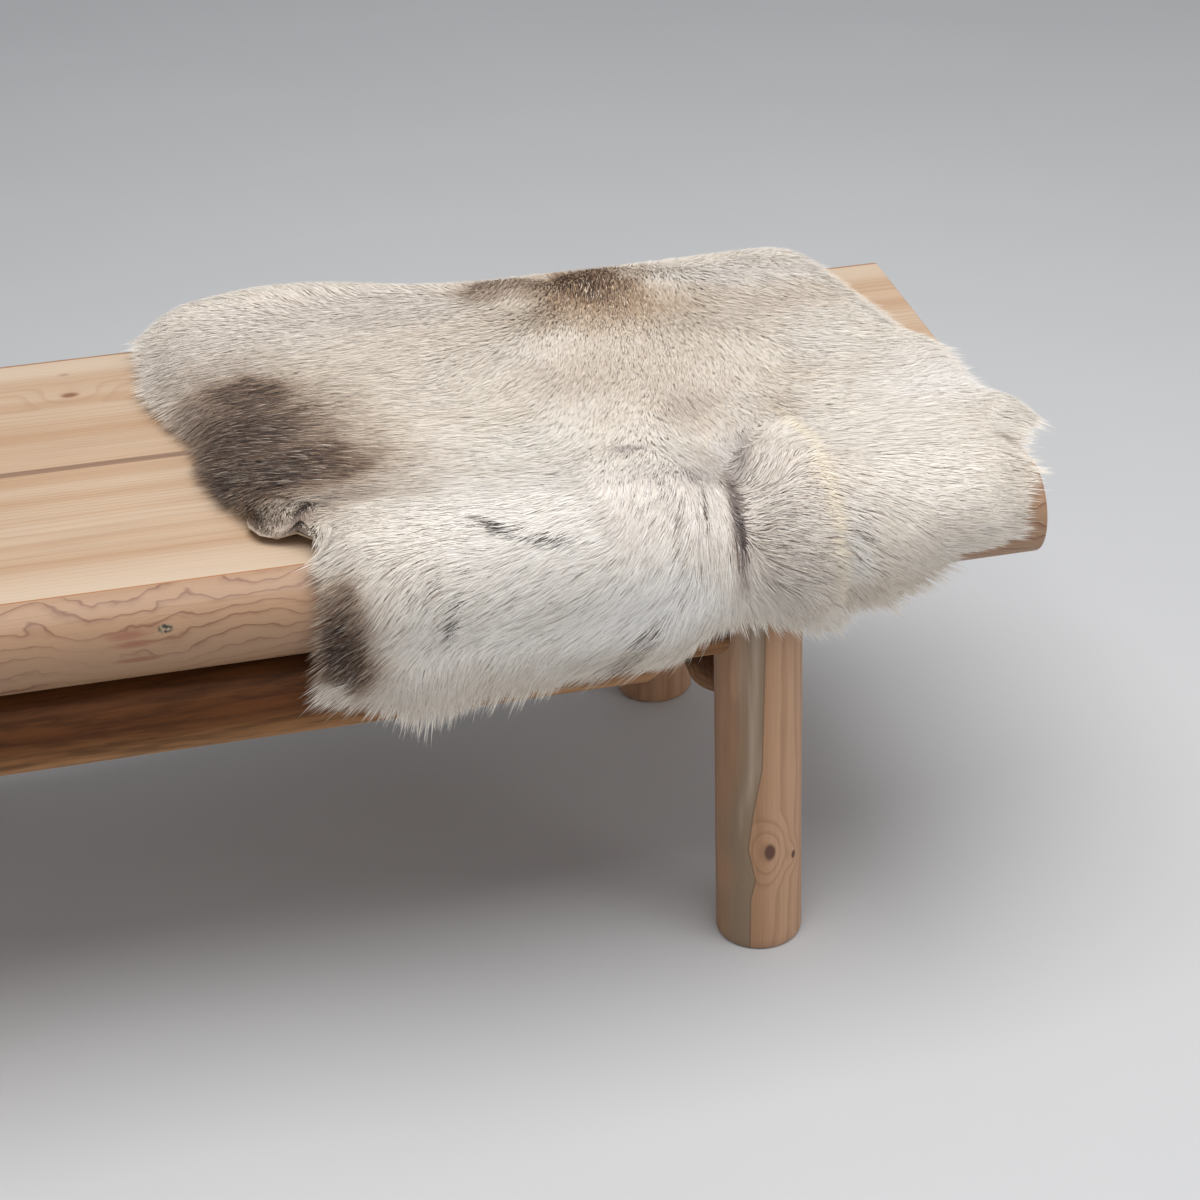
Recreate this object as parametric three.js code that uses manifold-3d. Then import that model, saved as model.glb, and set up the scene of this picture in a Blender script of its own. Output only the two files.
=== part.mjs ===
// A reindeer hide lying over the right-hand end of a cedar log bench.
// Millimetres, +Z up, +X towards the bench's right-hand end, +Y towards its back.
// The bench is laid out from the middle of the right front leg's foot. At the end of the file the
// whole is shifted so that its origin is on the floor, under the middle of everything.

import * as THREE from "three";
import Module from "manifold-3d";
import { mergeVertices } from "three/addons/utils/BufferGeometryUtils.js";

// ---------------------------------------------------------------- driving dimensions: bench

const FIT = 0.4; // what two fitted pieces leave between them

const SEAT_HEIGHT = 454; // floor to the planed top of the seat
const PLANK_THICKNESS = 83;
const NOSE_RADIUS = 42; // round outer edge of each plank, a little more than half its thickness
const PLANK_GAP = 2; // open joint between the two planks
const ARRIS = 2; // eased corner on each side of that joint, and round the planks' ends

const LEG_SPACING_X = 796; // from leg to leg, centre to centre
const LEG_SPACING_Y = 428;
const LEG_FOOT_RADIUS = 40;
const LEG_HEAD_RADIUS = 38.8;
const FOOT_EASE = 4; // rounded rim of each foot
const FOOT_EASE_MIDDLE = 0.3; // how far in and up the middle of that rounding is, as a share of it

const END_OVERHANG = 244; // planks past the middle of the leg
const NOSE_OVERHANG = 2; // middle of the plank's nose past the middle of the leg

const RAIL_RADIUS = 39;
const STRETCHER_RADIUS = 40;
const STRETCHER_HEIGHT = 232; // axis of the end stretchers above the floor
const TENON_RADIUS = 24;
const TENON_DEPTH = 30; // how far a tenon goes into its leg
const TENON_NECK = 30; // bare tenon between the leg and the shoulder
const SHOULDER = 34; // cone from the tenon up to the full log

const LOG_SIDES = 24;
const NOSE_STEPS = 14;

// ---------------------------------------------------------------- driving dimensions: hide

const HIDE_LIFT = 3; // clear space between the skin and the wood
const PILE = 26; // skin and hair together
const RIM_PILE = 10; // the same at the hide's edge
const RIM_WIDTH = 46; // how far in from the edge the hair reaches its full depth
const RIM_LEAD = 0.25; // its slope starts this share of that width outside the edge
const EVEN_REACH = 200; // how far from the seat's middle the rows stay parallel to it
const COLUMNS = 30; // left edge to right edge
const ROWS = 50; // back edge to front edge
const LEVEL_GAIN = 0.5; // how much more level the second diagonal must be before a facet uses it
const CORNER_ROUNDING = 0.5; // 0 leaves the corners in the tables below sharp, 1 rounds them fully

// The hide is drawn flat. "along" runs over the bench from back to front, 0 in the middle of the
// seat; "across" is the bench's own X.
const LEFT_EDGE = [
  { along: -545, across: -395 },
  { along: -450, across: -440 },
  { along: -285, across: -482 },
  { along: -216, across: -494 },
  { along: -134, across: -496 },
  { along: -77, across: -486 },
  { along: -8, across: -459 },
  { along: 52, across: -455 },
  { along: 101, across: -446 },
  { along: 143, across: -429 },
  { along: 175, across: -407 },
  { along: 205, across: -383 },
  { along: 250, across: -375 },
  { along: 300, across: -379 },
  { along: 350, across: -388 },
];

const RIGHT_EDGE = [
  { along: -545, across: 118 },
  { along: -430, across: 172 },
  { along: -285, across: 178 },
  { along: -216, across: 184 },
  { along: -96, across: 207 },
  { along: -28, across: 221 },
  { along: -8, across: 240 },
  { along: 73, across: 237 },
  { along: 105, across: 248 },
  { along: 142, across: 277 },
  { along: 186, across: 245 },
  { along: 215, across: 233 },
  { along: 232, across: 240 },
  { along: 246, across: 227 },
  { along: 268, across: 219 },
  { along: 296, across: 196 },
];

const FRONT_EDGE = [
  { across: -390, along: 332 },
  { across: -349, along: 363 },
  { across: -301, along: 381 },
  { across: -240, along: 370 },
  { across: -113, along: 362 },
  { across: -84, along: 352 },
  { across: -50, along: 322 },
  { across: -19, along: 329 },
  { across: 40, along: 354 },
  { across: 62, along: 333 },
  { across: 92, along: 340 },
  { across: 126, along: 321 },
  { across: 152, along: 304 },
  { across: 200, along: 292 },
  { across: 224, along: 268 },
];

const BACK_EDGE = [
  { across: -440, along: -452 },
  { across: -380, along: -505 },
  { across: -290, along: -530 },
  { across: -170, along: -516 },
  { across: -50, along: -545 },
  { across: 60, along: -522 },
  { across: 130, along: -468 },
  { across: 176, along: -400 },
];

// Soft folds. Each is a ridge, or a trough where its height is below 0, that reaches so far each
// way from its middle; its line moves across by "lean" for each millimetre along. A fold of the
// skin carries the hair with it, and in the others only the hair parts or stands up.
const SKIN_FOLDS = [
  { what: "raised back corner", across: -360, along: -250, wide: 115, long: 60, height: 21, lean: 0 },
  { what: "lobe beside the crease", across: 28, along: 225, wide: 36, long: 100, height: 14, lean: 0.03 },
  { what: "roll over the front edge", across: -215, along: 232, wide: 130, long: 66, height: 9, lean: 0 },
  { what: "swell near the end", across: 160, along: 110, wide: 70, long: 95, height: 7, lean: 0 },
  { what: "back flute, left", across: -300, along: -430, wide: 40, long: 120, height: 16, lean: 0.1 },
  { what: "back flute, middle", across: -110, along: -440, wide: 38, long: 110, height: 14, lean: -0.12 },
  { what: "back flute, right", across: 85, along: -420, wide: 40, long: 110, height: 15, lean: 0.08 },
];
const HAIR_FOLDS = [
  { what: "crease", across: -24, along: 225, wide: 26, long: 118, height: -14, lean: -0.06 },
];

const TONGUE_SAG = 0.006; // drop of the hide past the bench's end, for each square millimetre out

// ---------------------------------------------------------------- worked out from those

const NOSE_CENTRE_Z = SEAT_HEIGHT - PLANK_THICKNESS + NOSE_RADIUS;
const FRONT_NOSE_Y = -NOSE_OVERHANG;
const BACK_NOSE_Y = LEG_SPACING_Y + NOSE_OVERHANG;
const SEAT_MIDDLE_Y = LEG_SPACING_Y / 2;
const HALF_FLAT = (BACK_NOSE_Y - FRONT_NOSE_Y) / 2;
const PLANK_UNDERSIDE = SEAT_HEIGHT - PLANK_THICKNESS;
const BENCH_LENGTH = LEG_SPACING_X + 2 * END_OVERHANG;
const LEG_LENGTH = PLANK_UNDERSIDE - FIT;
const RAIL_HEIGHT = PLANK_UNDERSIDE - FIT - RAIL_RADIUS;
const BACK_MOST = Math.min(...BACK_EDGE.map((row) => row.along));
const FRONT_MOST = Math.max(...FRONT_EDGE.map((row) => row.along));

const wasm = await Module();
wasm.setup();
const WELD = 1e-4; // points of one mesh that lie closer than this are made one

// ---------------------------------------------------------------- materials

const wood = (colour) => new THREE.MeshStandardMaterial({ color: colour, roughness: 0.62, metalness: 0 });
const CEDAR_TOP = 0xd9b58c;
const CEDAR_LOG = 0xa9845f;
const pelt = new THREE.MeshStandardMaterial({ color: 0xd8d0c6, roughness: 0.95, metalness: 0 });

// ---------------------------------------------------------------- booleans

function toSolid(geometry) {
  const bare = geometry.clone();
  bare.deleteAttribute("normal");
  bare.deleteAttribute("uv");
  const welded = mergeVertices(bare, WELD);
  return new wasm.Manifold(
    new wasm.Mesh({
      numProp: 3,
      vertProperties: new Float32Array(welded.attributes.position.array),
      triVerts: new Uint32Array(welded.index.array),
    }),
  );
}

function toGeometry(solid) {
  const mesh = solid.getMesh();
  const geometry = new THREE.BufferGeometry();
  geometry.setAttribute("position", new THREE.BufferAttribute(mesh.vertProperties, 3));
  geometry.setIndex(new THREE.BufferAttribute(mesh.triVerts, 1));
  return geometry;
}

// ---------------------------------------------------------------- bench pieces

// A turned piece: (radius, height) pairs up the outside, closed on the axis at both ends, along +Z.
function turned(profile) {
  const first = profile[0][1];
  const last = profile[profile.length - 1][1];
  const points = [[0, first], ...profile, [0, last]].map(([r, h]) => new THREE.Vector2(r, h));
  return new THREE.LatheGeometry(points, LOG_SIDES).rotateX(Math.PI / 2);
}

// Section of the front plank in Y and Z: square at the joint, a round nose outside. The planed top
// cuts the nose just off its crown, which leaves a crisp line along the front.
function plankSection() {
  const joint = SEAT_MIDDLE_Y - PLANK_GAP / 2;
  const crown = Math.asin((SEAT_HEIGHT - NOSE_CENTRE_Z) / NOSE_RADIUS);
  const section = new THREE.Shape();
  section.moveTo(joint, PLANK_UNDERSIDE);
  section.lineTo(joint, SEAT_HEIGHT - ARRIS);
  section.lineTo(joint - ARRIS, SEAT_HEIGHT);
  for (let step = 0; step <= NOSE_STEPS; step++) {
    const angle = Math.PI - crown + (step / NOSE_STEPS) * (Math.PI / 2 + crown);
    section.lineTo(
      FRONT_NOSE_Y + NOSE_RADIUS * Math.cos(angle),
      NOSE_CENTRE_Z + NOSE_RADIUS * Math.sin(angle),
    );
  }
  return section;
}

function plankGeometry() {
  const geometry = new THREE.ExtrudeGeometry(plankSection(), {
    depth: BENCH_LENGTH - 2 * ARRIS,
    bevelEnabled: true,
    bevelThickness: ARRIS,
    bevelSize: ARRIS,
    bevelOffset: -ARRIS,
    bevelSegments: 1,
  });
  const alongX = new THREE.Matrix4().makeBasis(
    new THREE.Vector3(0, 1, 0),
    new THREE.Vector3(0, 0, 1),
    new THREE.Vector3(1, 0, 0),
  );
  return geometry.applyMatrix4(alongX).translate(END_OVERHANG - BENCH_LENGTH + ARRIS, 0, 0);
}

// A peeled log with a coned shoulder and a round tenon at each end, its middle at the origin.
function tenonedLog(legSpacing, logRadius) {
  const tip = legSpacing / 2 - LEG_FOOT_RADIUS + TENON_DEPTH;
  const neck = tip - TENON_DEPTH - TENON_NECK;
  const shoulder = neck - SHOULDER;
  return turned([
    [TENON_RADIUS, -tip],
    [TENON_RADIUS, -neck],
    [logRadius, -shoulder],
    [logRadius, shoulder],
    [TENON_RADIUS, neck],
    [TENON_RADIUS, tip],
  ]);
}

// The bore that takes one tenon: a plug from the leg's middle outwards, along +Z.
function tenonBore() {
  const bottom = LEG_FOOT_RADIUS - TENON_DEPTH - FIT;
  const radius = TENON_RADIUS + FIT;
  return turned([
    [radius, bottom],
    [radius, 2 * LEG_FOOT_RADIUS],
  ]);
}

// A leg, bored for its rail and its stretcher. towardsX and towardsY are +1 or -1.
function legGeometry(towardsX, towardsY) {
  const log = toSolid(
    turned([
      [LEG_FOOT_RADIUS - FOOT_EASE, 0],
      [LEG_FOOT_RADIUS - FOOT_EASE * FOOT_EASE_MIDDLE, FOOT_EASE * FOOT_EASE_MIDDLE],
      [LEG_FOOT_RADIUS, FOOT_EASE],
      [LEG_HEAD_RADIUS, LEG_LENGTH],
    ]),
  );
  const railBore = tenonBore().rotateY((towardsX * Math.PI) / 2).translate(0, 0, RAIL_HEIGHT);
  const stretcherBore = tenonBore().rotateX((-towardsY * Math.PI) / 2).translate(0, 0, STRETCHER_HEIGHT);
  return toGeometry(log.subtract(toSolid(railBore)).subtract(toSolid(stretcherBore)));
}

// ---------------------------------------------------------------- the hide

// Reads a table of rows at a value of one column, rounding the corners between its rows.
function readTable(rows, from, to, value) {
  const last = rows.length - 1;
  if (value <= rows[0][from]) return rows[0][to];
  if (value >= rows[last][from]) return rows[last][to];
  const next = rows.findIndex((row) => row[from] > value);
  const a = rows[next - 1];
  const b = rows[next];
  const share = (value - a[from]) / (b[from] - a[from]);
  const rounded = THREE.MathUtils.smoothstep(share, 0, 1);
  return THREE.MathUtils.lerp(a[to], b[to], THREE.MathUtils.lerp(share, rounded, CORNER_ROUNDING));
}

// A place on the bench's outside: `along` over it, standing `out` from the wood's own line.
function overBench(across, along, out) {
  const side = Math.sign(along);
  const past = Math.abs(along) - HALF_FLAT;
  const radius = NOSE_RADIUS + HIDE_LIFT;
  const quarter = (radius * Math.PI) / 2;
  if (past <= 0) {
    return new THREE.Vector3(across, SEAT_MIDDLE_Y - along, NOSE_CENTRE_Z + radius + out);
  }
  const turn = Math.min(past / radius, Math.PI / 2);
  const hanging = Math.max(past - quarter, 0);
  const reach = HALF_FLAT + (radius + out) * Math.sin(turn);
  const height = NOSE_CENTRE_Z + (radius + out) * Math.cos(turn) - hanging;
  return new THREE.Vector3(across, SEAT_MIDDLE_Y - side * reach, height);
}

function foldHeight(folds, across, along) {
  let height = 0;
  for (const fold of folds) {
    const byAlong = (along - fold.along) / fold.long;
    const byAcross = (across - fold.across - fold.lean * (along - fold.along)) / fold.wide;
    height += fold.height * Math.exp(-byAlong * byAlong - byAcross * byAcross);
  }
  return height;
}

// The flat hide's own point for column and row shares from 0 to 1. The middle rows run straight
// across the seat; beyond EVEN_REACH they close up or open out towards the edge.
function flatPoint(columnShare, rowShare) {
  const even = THREE.MathUtils.lerp(BACK_MOST, FRONT_MOST, rowShare);
  const acrossAt = (along) =>
    THREE.MathUtils.lerp(
      readTable(LEFT_EDGE, "along", "across", along),
      readTable(RIGHT_EDGE, "along", "across", along),
      columnShare,
    );
  if (Math.abs(even) <= EVEN_REACH) return { across: acrossAt(even), along: even };
  const side = Math.sign(even);
  const furthest = side > 0 ? FRONT_MOST : -BACK_MOST;
  const edge = Math.abs(readTable(side > 0 ? FRONT_EDGE : BACK_EDGE, "across", "along", acrossAt(even)));
  const share = (Math.abs(even) - EVEN_REACH) / (furthest - EVEN_REACH);
  const along = side * THREE.MathUtils.lerp(EVEN_REACH, edge, share);
  return { across: acrossAt(along), along };
}

// The hide as one closed shell: an upper skin of hair tips, a lower skin, and a rim that joins them.
function hideGeometry() {
  const positions = [];
  const index = [];
  const perLayer = (COLUMNS + 1) * (ROWS + 1);
  const flat = [];
  for (let row = 0; row <= ROWS; row++) {
    for (let column = 0; column <= COLUMNS; column++) {
      flat.push(flatPoint(column / COLUMNS, row / ROWS));
    }
  }
  const at = (row, column) => row * (COLUMNS + 1) + column;

  const rimDistance = (row, column) => {
    const here = flat[at(row, column)];
    const left = flat[at(row, 0)];
    const right = flat[at(row, COLUMNS)];
    const back = flat[at(0, column)];
    const front = flat[at(ROWS, column)];
    return Math.min(
      here.across - left.across,
      right.across - here.across,
      here.along - back.along,
      front.along - here.along,
    );
  };

  for (const upper of [true, false]) {
    for (let row = 0; row <= ROWS; row++) {
      for (let column = 0; column <= COLUMNS; column++) {
        const { across, along } = flat[at(row, column)];
        const room = rimDistance(row, column);
        const inward = THREE.MathUtils.smoothstep(room, -RIM_LEAD * RIM_WIDTH, RIM_WIDTH);
        const fullHair = PILE + foldHeight(HAIR_FOLDS, across, along);
        const hair = THREE.MathUtils.lerp(RIM_PILE, fullHair, inward);
        const lift = foldHeight(SKIN_FOLDS, across, along);
        const point = overBench(across, along, lift + (upper ? hair : 0));
        const past = Math.max(across - END_OVERHANG, 0);
        point.z -= TONGUE_SAG * past * past;
        positions.push(point.x, point.y, point.z);
      }
    }
  }

  // Each facet is split along its more level diagonal, so that no split cuts a corner of the nose.
  const quad = (a, b, c, d, otherDiagonal) => {
    if (otherDiagonal) index.push(a, b, d, b, c, d);
    else index.push(a, b, c, a, c, d);
  };
  for (let row = 0; row < ROWS; row++) {
    for (let column = 0; column < COLUMNS; column++) {
      const a = at(row, column);
      const b = at(row, column + 1);
      const c = at(row + 1, column + 1);
      const d = at(row + 1, column);
      const slantBD = Math.abs(flat[b].along - flat[d].along);
      const slantAC = Math.abs(flat[a].along - flat[c].along);
      const levelBD = slantBD + LEVEL_GAIN < slantAC;
      quad(a, d, c, b, levelBD);
      quad(a + perLayer, b + perLayer, c + perLayer, d + perLayer, levelBD);
    }
  }
  const wall = (a, b) => quad(a, b, b + perLayer, a + perLayer);
  for (let column = 0; column < COLUMNS; column++) {
    wall(at(0, column), at(0, column + 1));
    wall(at(ROWS, column + 1), at(ROWS, column));
  }
  for (let row = 0; row < ROWS; row++) {
    wall(at(row + 1, 0), at(row, 0));
    wall(at(row, COLUMNS), at(row + 1, COLUMNS));
  }

  const geometry = new THREE.BufferGeometry();
  geometry.setAttribute("position", new THREE.Float32BufferAttribute(positions, 3));
  geometry.setIndex(index);
  return geometry;
}

// ---------------------------------------------------------------- assembly

const whole = new THREE.Group();

function addPiece(name, geometry, material) {
  const mesh = new THREE.Mesh(geometry, material);
  mesh.name = name;
  whole.add(mesh);
  return mesh;
}

const plank = plankGeometry();
addPiece("seat_plank_front", plank, wood(CEDAR_TOP));
const backPlank = addPiece("seat_plank_back", plank, wood(CEDAR_TOP));
backPlank.rotation.z = Math.PI;
backPlank.position.set(-LEG_SPACING_X, LEG_SPACING_Y, 0);

for (const [end, towardsX, x] of [["right", -1, 0], ["left", 1, -LEG_SPACING_X]]) {
  for (const [side, towardsY, y] of [["front", 1, 0], ["back", -1, LEG_SPACING_Y]]) {
    const leg = addPiece(`leg_${side}_${end}`, legGeometry(towardsX, towardsY), wood(CEDAR_LOG));
    leg.position.set(x, y, 0);
  }
  const stretcher = addPiece(
    `end_stretcher_${end}`,
    tenonedLog(LEG_SPACING_Y, STRETCHER_RADIUS).rotateX(Math.PI / 2),
    wood(CEDAR_LOG),
  );
  stretcher.position.set(x, SEAT_MIDDLE_Y, STRETCHER_HEIGHT);
}

for (const [side, y] of [["front", 0], ["back", LEG_SPACING_Y]]) {
  const rail = addPiece(
    `side_rail_${side}`,
    tenonedLog(LEG_SPACING_X, RAIL_RADIUS).rotateY(Math.PI / 2),
    wood(CEDAR_LOG),
  );
  rail.position.set(-LEG_SPACING_X / 2, y, RAIL_HEIGHT);
}

addPiece("hide", hideGeometry(), pelt);

const extent = new THREE.Box3().setFromObject(whole);
const middle = extent.getCenter(new THREE.Vector3());
whole.position.set(-middle.x, -middle.y, -extent.min.z);

export default whole;
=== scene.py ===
import math

import bpy
import numpy as np
from mathutils import Matrix, Vector


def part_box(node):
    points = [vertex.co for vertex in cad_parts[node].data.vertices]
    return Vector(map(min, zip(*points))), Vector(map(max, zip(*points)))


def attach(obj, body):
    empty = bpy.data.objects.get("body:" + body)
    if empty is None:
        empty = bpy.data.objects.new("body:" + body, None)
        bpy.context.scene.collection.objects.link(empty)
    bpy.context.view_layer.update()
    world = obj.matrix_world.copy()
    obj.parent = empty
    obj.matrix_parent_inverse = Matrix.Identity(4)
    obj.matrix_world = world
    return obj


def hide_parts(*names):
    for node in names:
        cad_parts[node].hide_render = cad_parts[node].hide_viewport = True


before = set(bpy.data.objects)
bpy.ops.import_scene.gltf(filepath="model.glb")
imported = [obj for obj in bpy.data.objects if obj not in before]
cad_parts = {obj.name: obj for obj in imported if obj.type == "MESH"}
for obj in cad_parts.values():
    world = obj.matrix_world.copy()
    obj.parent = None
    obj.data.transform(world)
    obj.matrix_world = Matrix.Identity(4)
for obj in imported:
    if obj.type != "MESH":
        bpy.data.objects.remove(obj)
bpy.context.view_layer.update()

# ---------------------------------------------------------------- the studio
# A plain pale floor under soft light: one broad lamp overhead, weaker ones on the right and low in
# front, and an even glow from all round. Everything is placed from the right front leg's foot.

leg_low, leg_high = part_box("leg_front_right")
BENCH = Vector(((leg_low[0] + leg_high[0]) / 2, (leg_low[1] + leg_high[1]) / 2, 0))

FLOOR_SIDE = 14
FLOOR_PALE = (0.56, 0.56, 0.562, 1)
FLOOR_SHADE = (0.53, 0.53, 0.532, 1)
FLOOR_ROUGHNESS, FLOOR_LUMPS = 0.85, 2.5


def node(tree, kind, inputs=None, **settings):
    """Adds a node, with its settings, and feeds its inputs from sockets or with plain values."""
    made = tree.nodes.new(kind)
    for name, value in settings.items():
        setattr(made, name, value)
    for key, value in (inputs or {}).items():
        if isinstance(value, bpy.types.NodeSocket):
            tree.links.new(value, made.inputs[key])
        else:
            made.inputs[key].default_value = value
    return made


def blend(tree, share, first, second, kind="MIX"):
    """A colour mixed from two others."""
    mix = node(tree, "ShaderNodeMix", {0: share, 6: first, 7: second}, data_type="RGBA", blend_type=kind)
    return mix.outputs[2]


def noise(tree, place, scale, detail=2.0, rough=0.5):
    """Smooth noise from 0 to 1 over a place."""
    made = node(tree, "ShaderNodeTexNoise", {"Vector": place, "Scale": scale, "Detail": detail})
    made.inputs["Roughness"].default_value = rough
    return made


def plain_material(name, roughness):
    """A new material, with its tree and its shader."""
    material = bpy.data.materials.new(name)
    material.use_nodes = True
    shader = material.node_tree.nodes["Principled BSDF"]
    shader.inputs["Roughness"].default_value = roughness
    return material, material.node_tree, shader


floor_mesh = bpy.data.meshes.new("floor")
half = FLOOR_SIDE / 2
corners = [(-half, -half, 0), (half, -half, 0), (half, half, 0), (-half, half, 0)]
floor_mesh.from_pydata(corners, [], [(0, 1, 2, 3)])
floor = bpy.data.objects.new("floor", floor_mesh)
bpy.context.scene.collection.objects.link(floor)
floor_material, tree, shader = plain_material("floor_paint", FLOOR_ROUGHNESS)
spot = node(tree, "ShaderNodeTexCoord").outputs["Object"]
mottle = noise(tree, spot, FLOOR_LUMPS, 3).outputs["Fac"]
tree.links.new(blend(tree, mottle, FLOOR_PALE, FLOOR_SHADE), shader.inputs["Base Color"])
floor_mesh.materials.append(floor_material)

LAMPS = [  # name, place from the leg's foot, side of the square lamp, watts
    ("key_lamp", (-0.1, -0.2, 2.9), 2.4, 84),
    ("side_lamp", (2.2, -1.7, 1.5), 1.6, 15),
    ("front_lamp", (-0.6, -2.6, 0.6), 1.4, 4),
]
LAMP_AIM = BENCH + Vector((-0.15, 0.15, 0.4))
for name, place, side, watts in LAMPS:
    lamp = bpy.data.lights.new(name, "AREA")
    lamp.size = side
    lamp.energy = watts
    holder = bpy.data.objects.new(name, lamp)
    holder.location = BENCH + Vector(place)
    holder.rotation_euler = (LAMP_AIM - holder.location).to_track_quat("-Z", "Y").to_euler()
    bpy.context.scene.collection.objects.link(holder)

GLOW = (0.93, 0.95, 1.0, 1)
GLOW_STRENGTH = 0.42
world = bpy.data.worlds.new("glow")
world.use_nodes = True
world.node_tree.nodes["Background"].inputs["Color"].default_value = GLOW
world.node_tree.nodes["Background"].inputs["Strength"].default_value = GLOW_STRENGTH
bpy.context.scene.world = world
bpy.context.scene.view_settings.view_transform = "Standard"

EYE = (-0.4886, -1.8037, 1.4729)  # from the leg's foot
YAW, PITCH, ROLL = math.radians(10.98), math.radians(30.88), math.radians(2.28)
LENS, SENSOR = 75.6, 36  # millimetres

camera = bpy.data.cameras.new("camera")
camera.lens = LENS
camera.sensor_width = SENSOR
viewer = bpy.data.objects.new("camera", camera)
look = Matrix.Rotation(-YAW, 4, "Z") @ Matrix.Rotation(math.pi / 2 - PITCH, 4, "X")
viewer.matrix_world = Matrix.Translation(BENCH + Vector(EYE)) @ look @ Matrix.Rotation(-ROLL, 4, "Z")
bpy.context.scene.collection.objects.link(viewer)
bpy.context.scene.camera = viewer

# ---------------------------------------------------------------- seat planks
# Two cedar planks, each milled from a log: planed flat on top, square where they meet and left
# round outside. They lie side by side on the heads of the legs, with an open joint of 2 mm.

NOSE_RADIUS = 0.042
NOSE_STEPS = 36
ARRIS = 0.002
JOINT_CHAMFER = 0.003  # along both sides of the joint between the planks
ARRIS_STEPS = [(0, 1), (0.3, 0.3), (1, 0)]  # share of the arris along the plank, share drawn in
CRISP = math.radians(9)


def show(name, mesh, material, *nodes, slot):
    """Puts a mesh in the scene as a piece that rides on the bench and stands for CAD nodes."""
    piece = bpy.data.objects.new(name, mesh)
    bpy.context.scene.collection.objects.link(piece)
    mesh.materials.append(material)
    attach(piece, "root")
    if nodes:
        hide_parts(*nodes)
    return piece


def loft(name, rings, crisp=CRISP):
    """A closed skin over rings of points, one row of points a ring, with a flat face at each end."""
    count, around = len(rings), len(rings[0])
    points = [tuple(point) for ring in rings for point in ring]
    faces = []
    for ring in range(count - 1):
        for step in range(around):
            a, b = ring * around + step, ring * around + (step + 1) % around
            faces.append((a, b, b + around, a + around))
    faces.append(tuple(reversed(range(around))))
    faces.append(tuple((count - 1) * around + step for step in range(around)))
    mesh = bpy.data.meshes.new(name)
    mesh.from_pydata(points, [], faces)
    mesh.shade_smooth()
    mesh.set_sharp_from_angle(angle=crisp)
    return mesh


def plank_section(thickness, width):
    """Outline of a plank in (outwards, up) from the foot of its joint, round at the outside."""
    nose_out, nose_up = width - NOSE_RADIUS, NOSE_RADIUS
    crown = math.asin((thickness - nose_up) / NOSE_RADIUS)
    outline = [(0, ARRIS), (0, thickness - JOINT_CHAMFER), (JOINT_CHAMFER, thickness)]
    for step in range(NOSE_STEPS + 1):
        turn = crown - step / NOSE_STEPS * (crown + math.pi / 2)
        outline.append((nose_out + NOSE_RADIUS * math.cos(turn), nose_up + NOSE_RADIUS * math.sin(turn)))
    outline.append((ARRIS, 0))
    return np.array(outline)


def drawn_in(outline, depth):
    """The outline with each point moved inwards."""
    along = np.roll(outline, -1, 0) - np.roll(outline, 1, 0)
    inward = np.stack([along[:, 1], -along[:, 0]], 1)
    return outline + depth * inward / np.linalg.norm(inward, axis=1, keepdims=True)


def plank_mesh(name, low, high, outwards):
    outline = plank_section(high[2] - low[2], high[1] - low[1])
    joint = high[1] if outwards < 0 else low[1]
    stations = [(low[0] + share * ARRIS, depth) for share, depth in ARRIS_STEPS]
    stations += [(high[0] - share * ARRIS, depth) for share, depth in reversed(ARRIS_STEPS)]
    rings = []
    for x, depth in stations:
        section = drawn_in(outline, depth * ARRIS)
        rings.append([(x, joint + outwards * out, low[2] + up) for out, up in section])
        if outwards < 0:
            rings[-1].reverse()
    return loft(name, rings)


def figure(tree, op, a, b=0.0, c=0.0):
    """A sum, product or other reckoning on single values."""
    return node(tree, "ShaderNodeMath", {0: a, 1: b, 2: c}, operation=op).outputs[0]


def ramp(tree, share, stops):
    """Reads a value or colour from stops of (place, grey) or (place, colour)."""
    made = node(tree, "ShaderNodeValToRGB", {0: share})
    band = made.color_ramp
    while len(band.elements) < len(stops):
        band.elements.new(0.5)
    for element, (place, value) in zip(band.elements, stops):
        element.position = place
        element.color = value if hasattr(value, "__len__") else (value, value, value, 1)
    return made.outputs["Color"]


def paint(red, green, blue):
    """A colour for a shader from its everyday 0 to 255 numbers."""
    shares = [value / 255 for value in (red, green, blue)]
    return (*(share / 12.92 if share < 0.04 else ((share + 0.055) / 1.055) ** 2.4 for share in shares), 1)


def between(tree, value, start, end, first=0.0, last=1.0, kind="LINEAR"):
    """A level that goes from first to last while a value goes from start to end."""
    limits = {0: value, 1: start, 2: end, 3: first, 4: last}
    return node(tree, "ShaderNodeMapRange", limits, interpolation_type=kind).outputs[0]


def vectors(tree, op, first, second):
    """A sum, difference or product of two places, part by part."""
    return node(tree, "ShaderNodeVectorMath", {0: first, 1: second}, operation=op).outputs[0]


def length_of(tree, place):
    return node(tree, "ShaderNodeVectorMath", {0: place}, operation="LENGTH").outputs["Value"]


def stretched(tree, place, axis, along, across):
    """A place scaled one way along the grain and another way across it."""
    scale = [across] * 3
    scale[axis] = along
    return vectors(tree, "MULTIPLY", place, scale)


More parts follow.
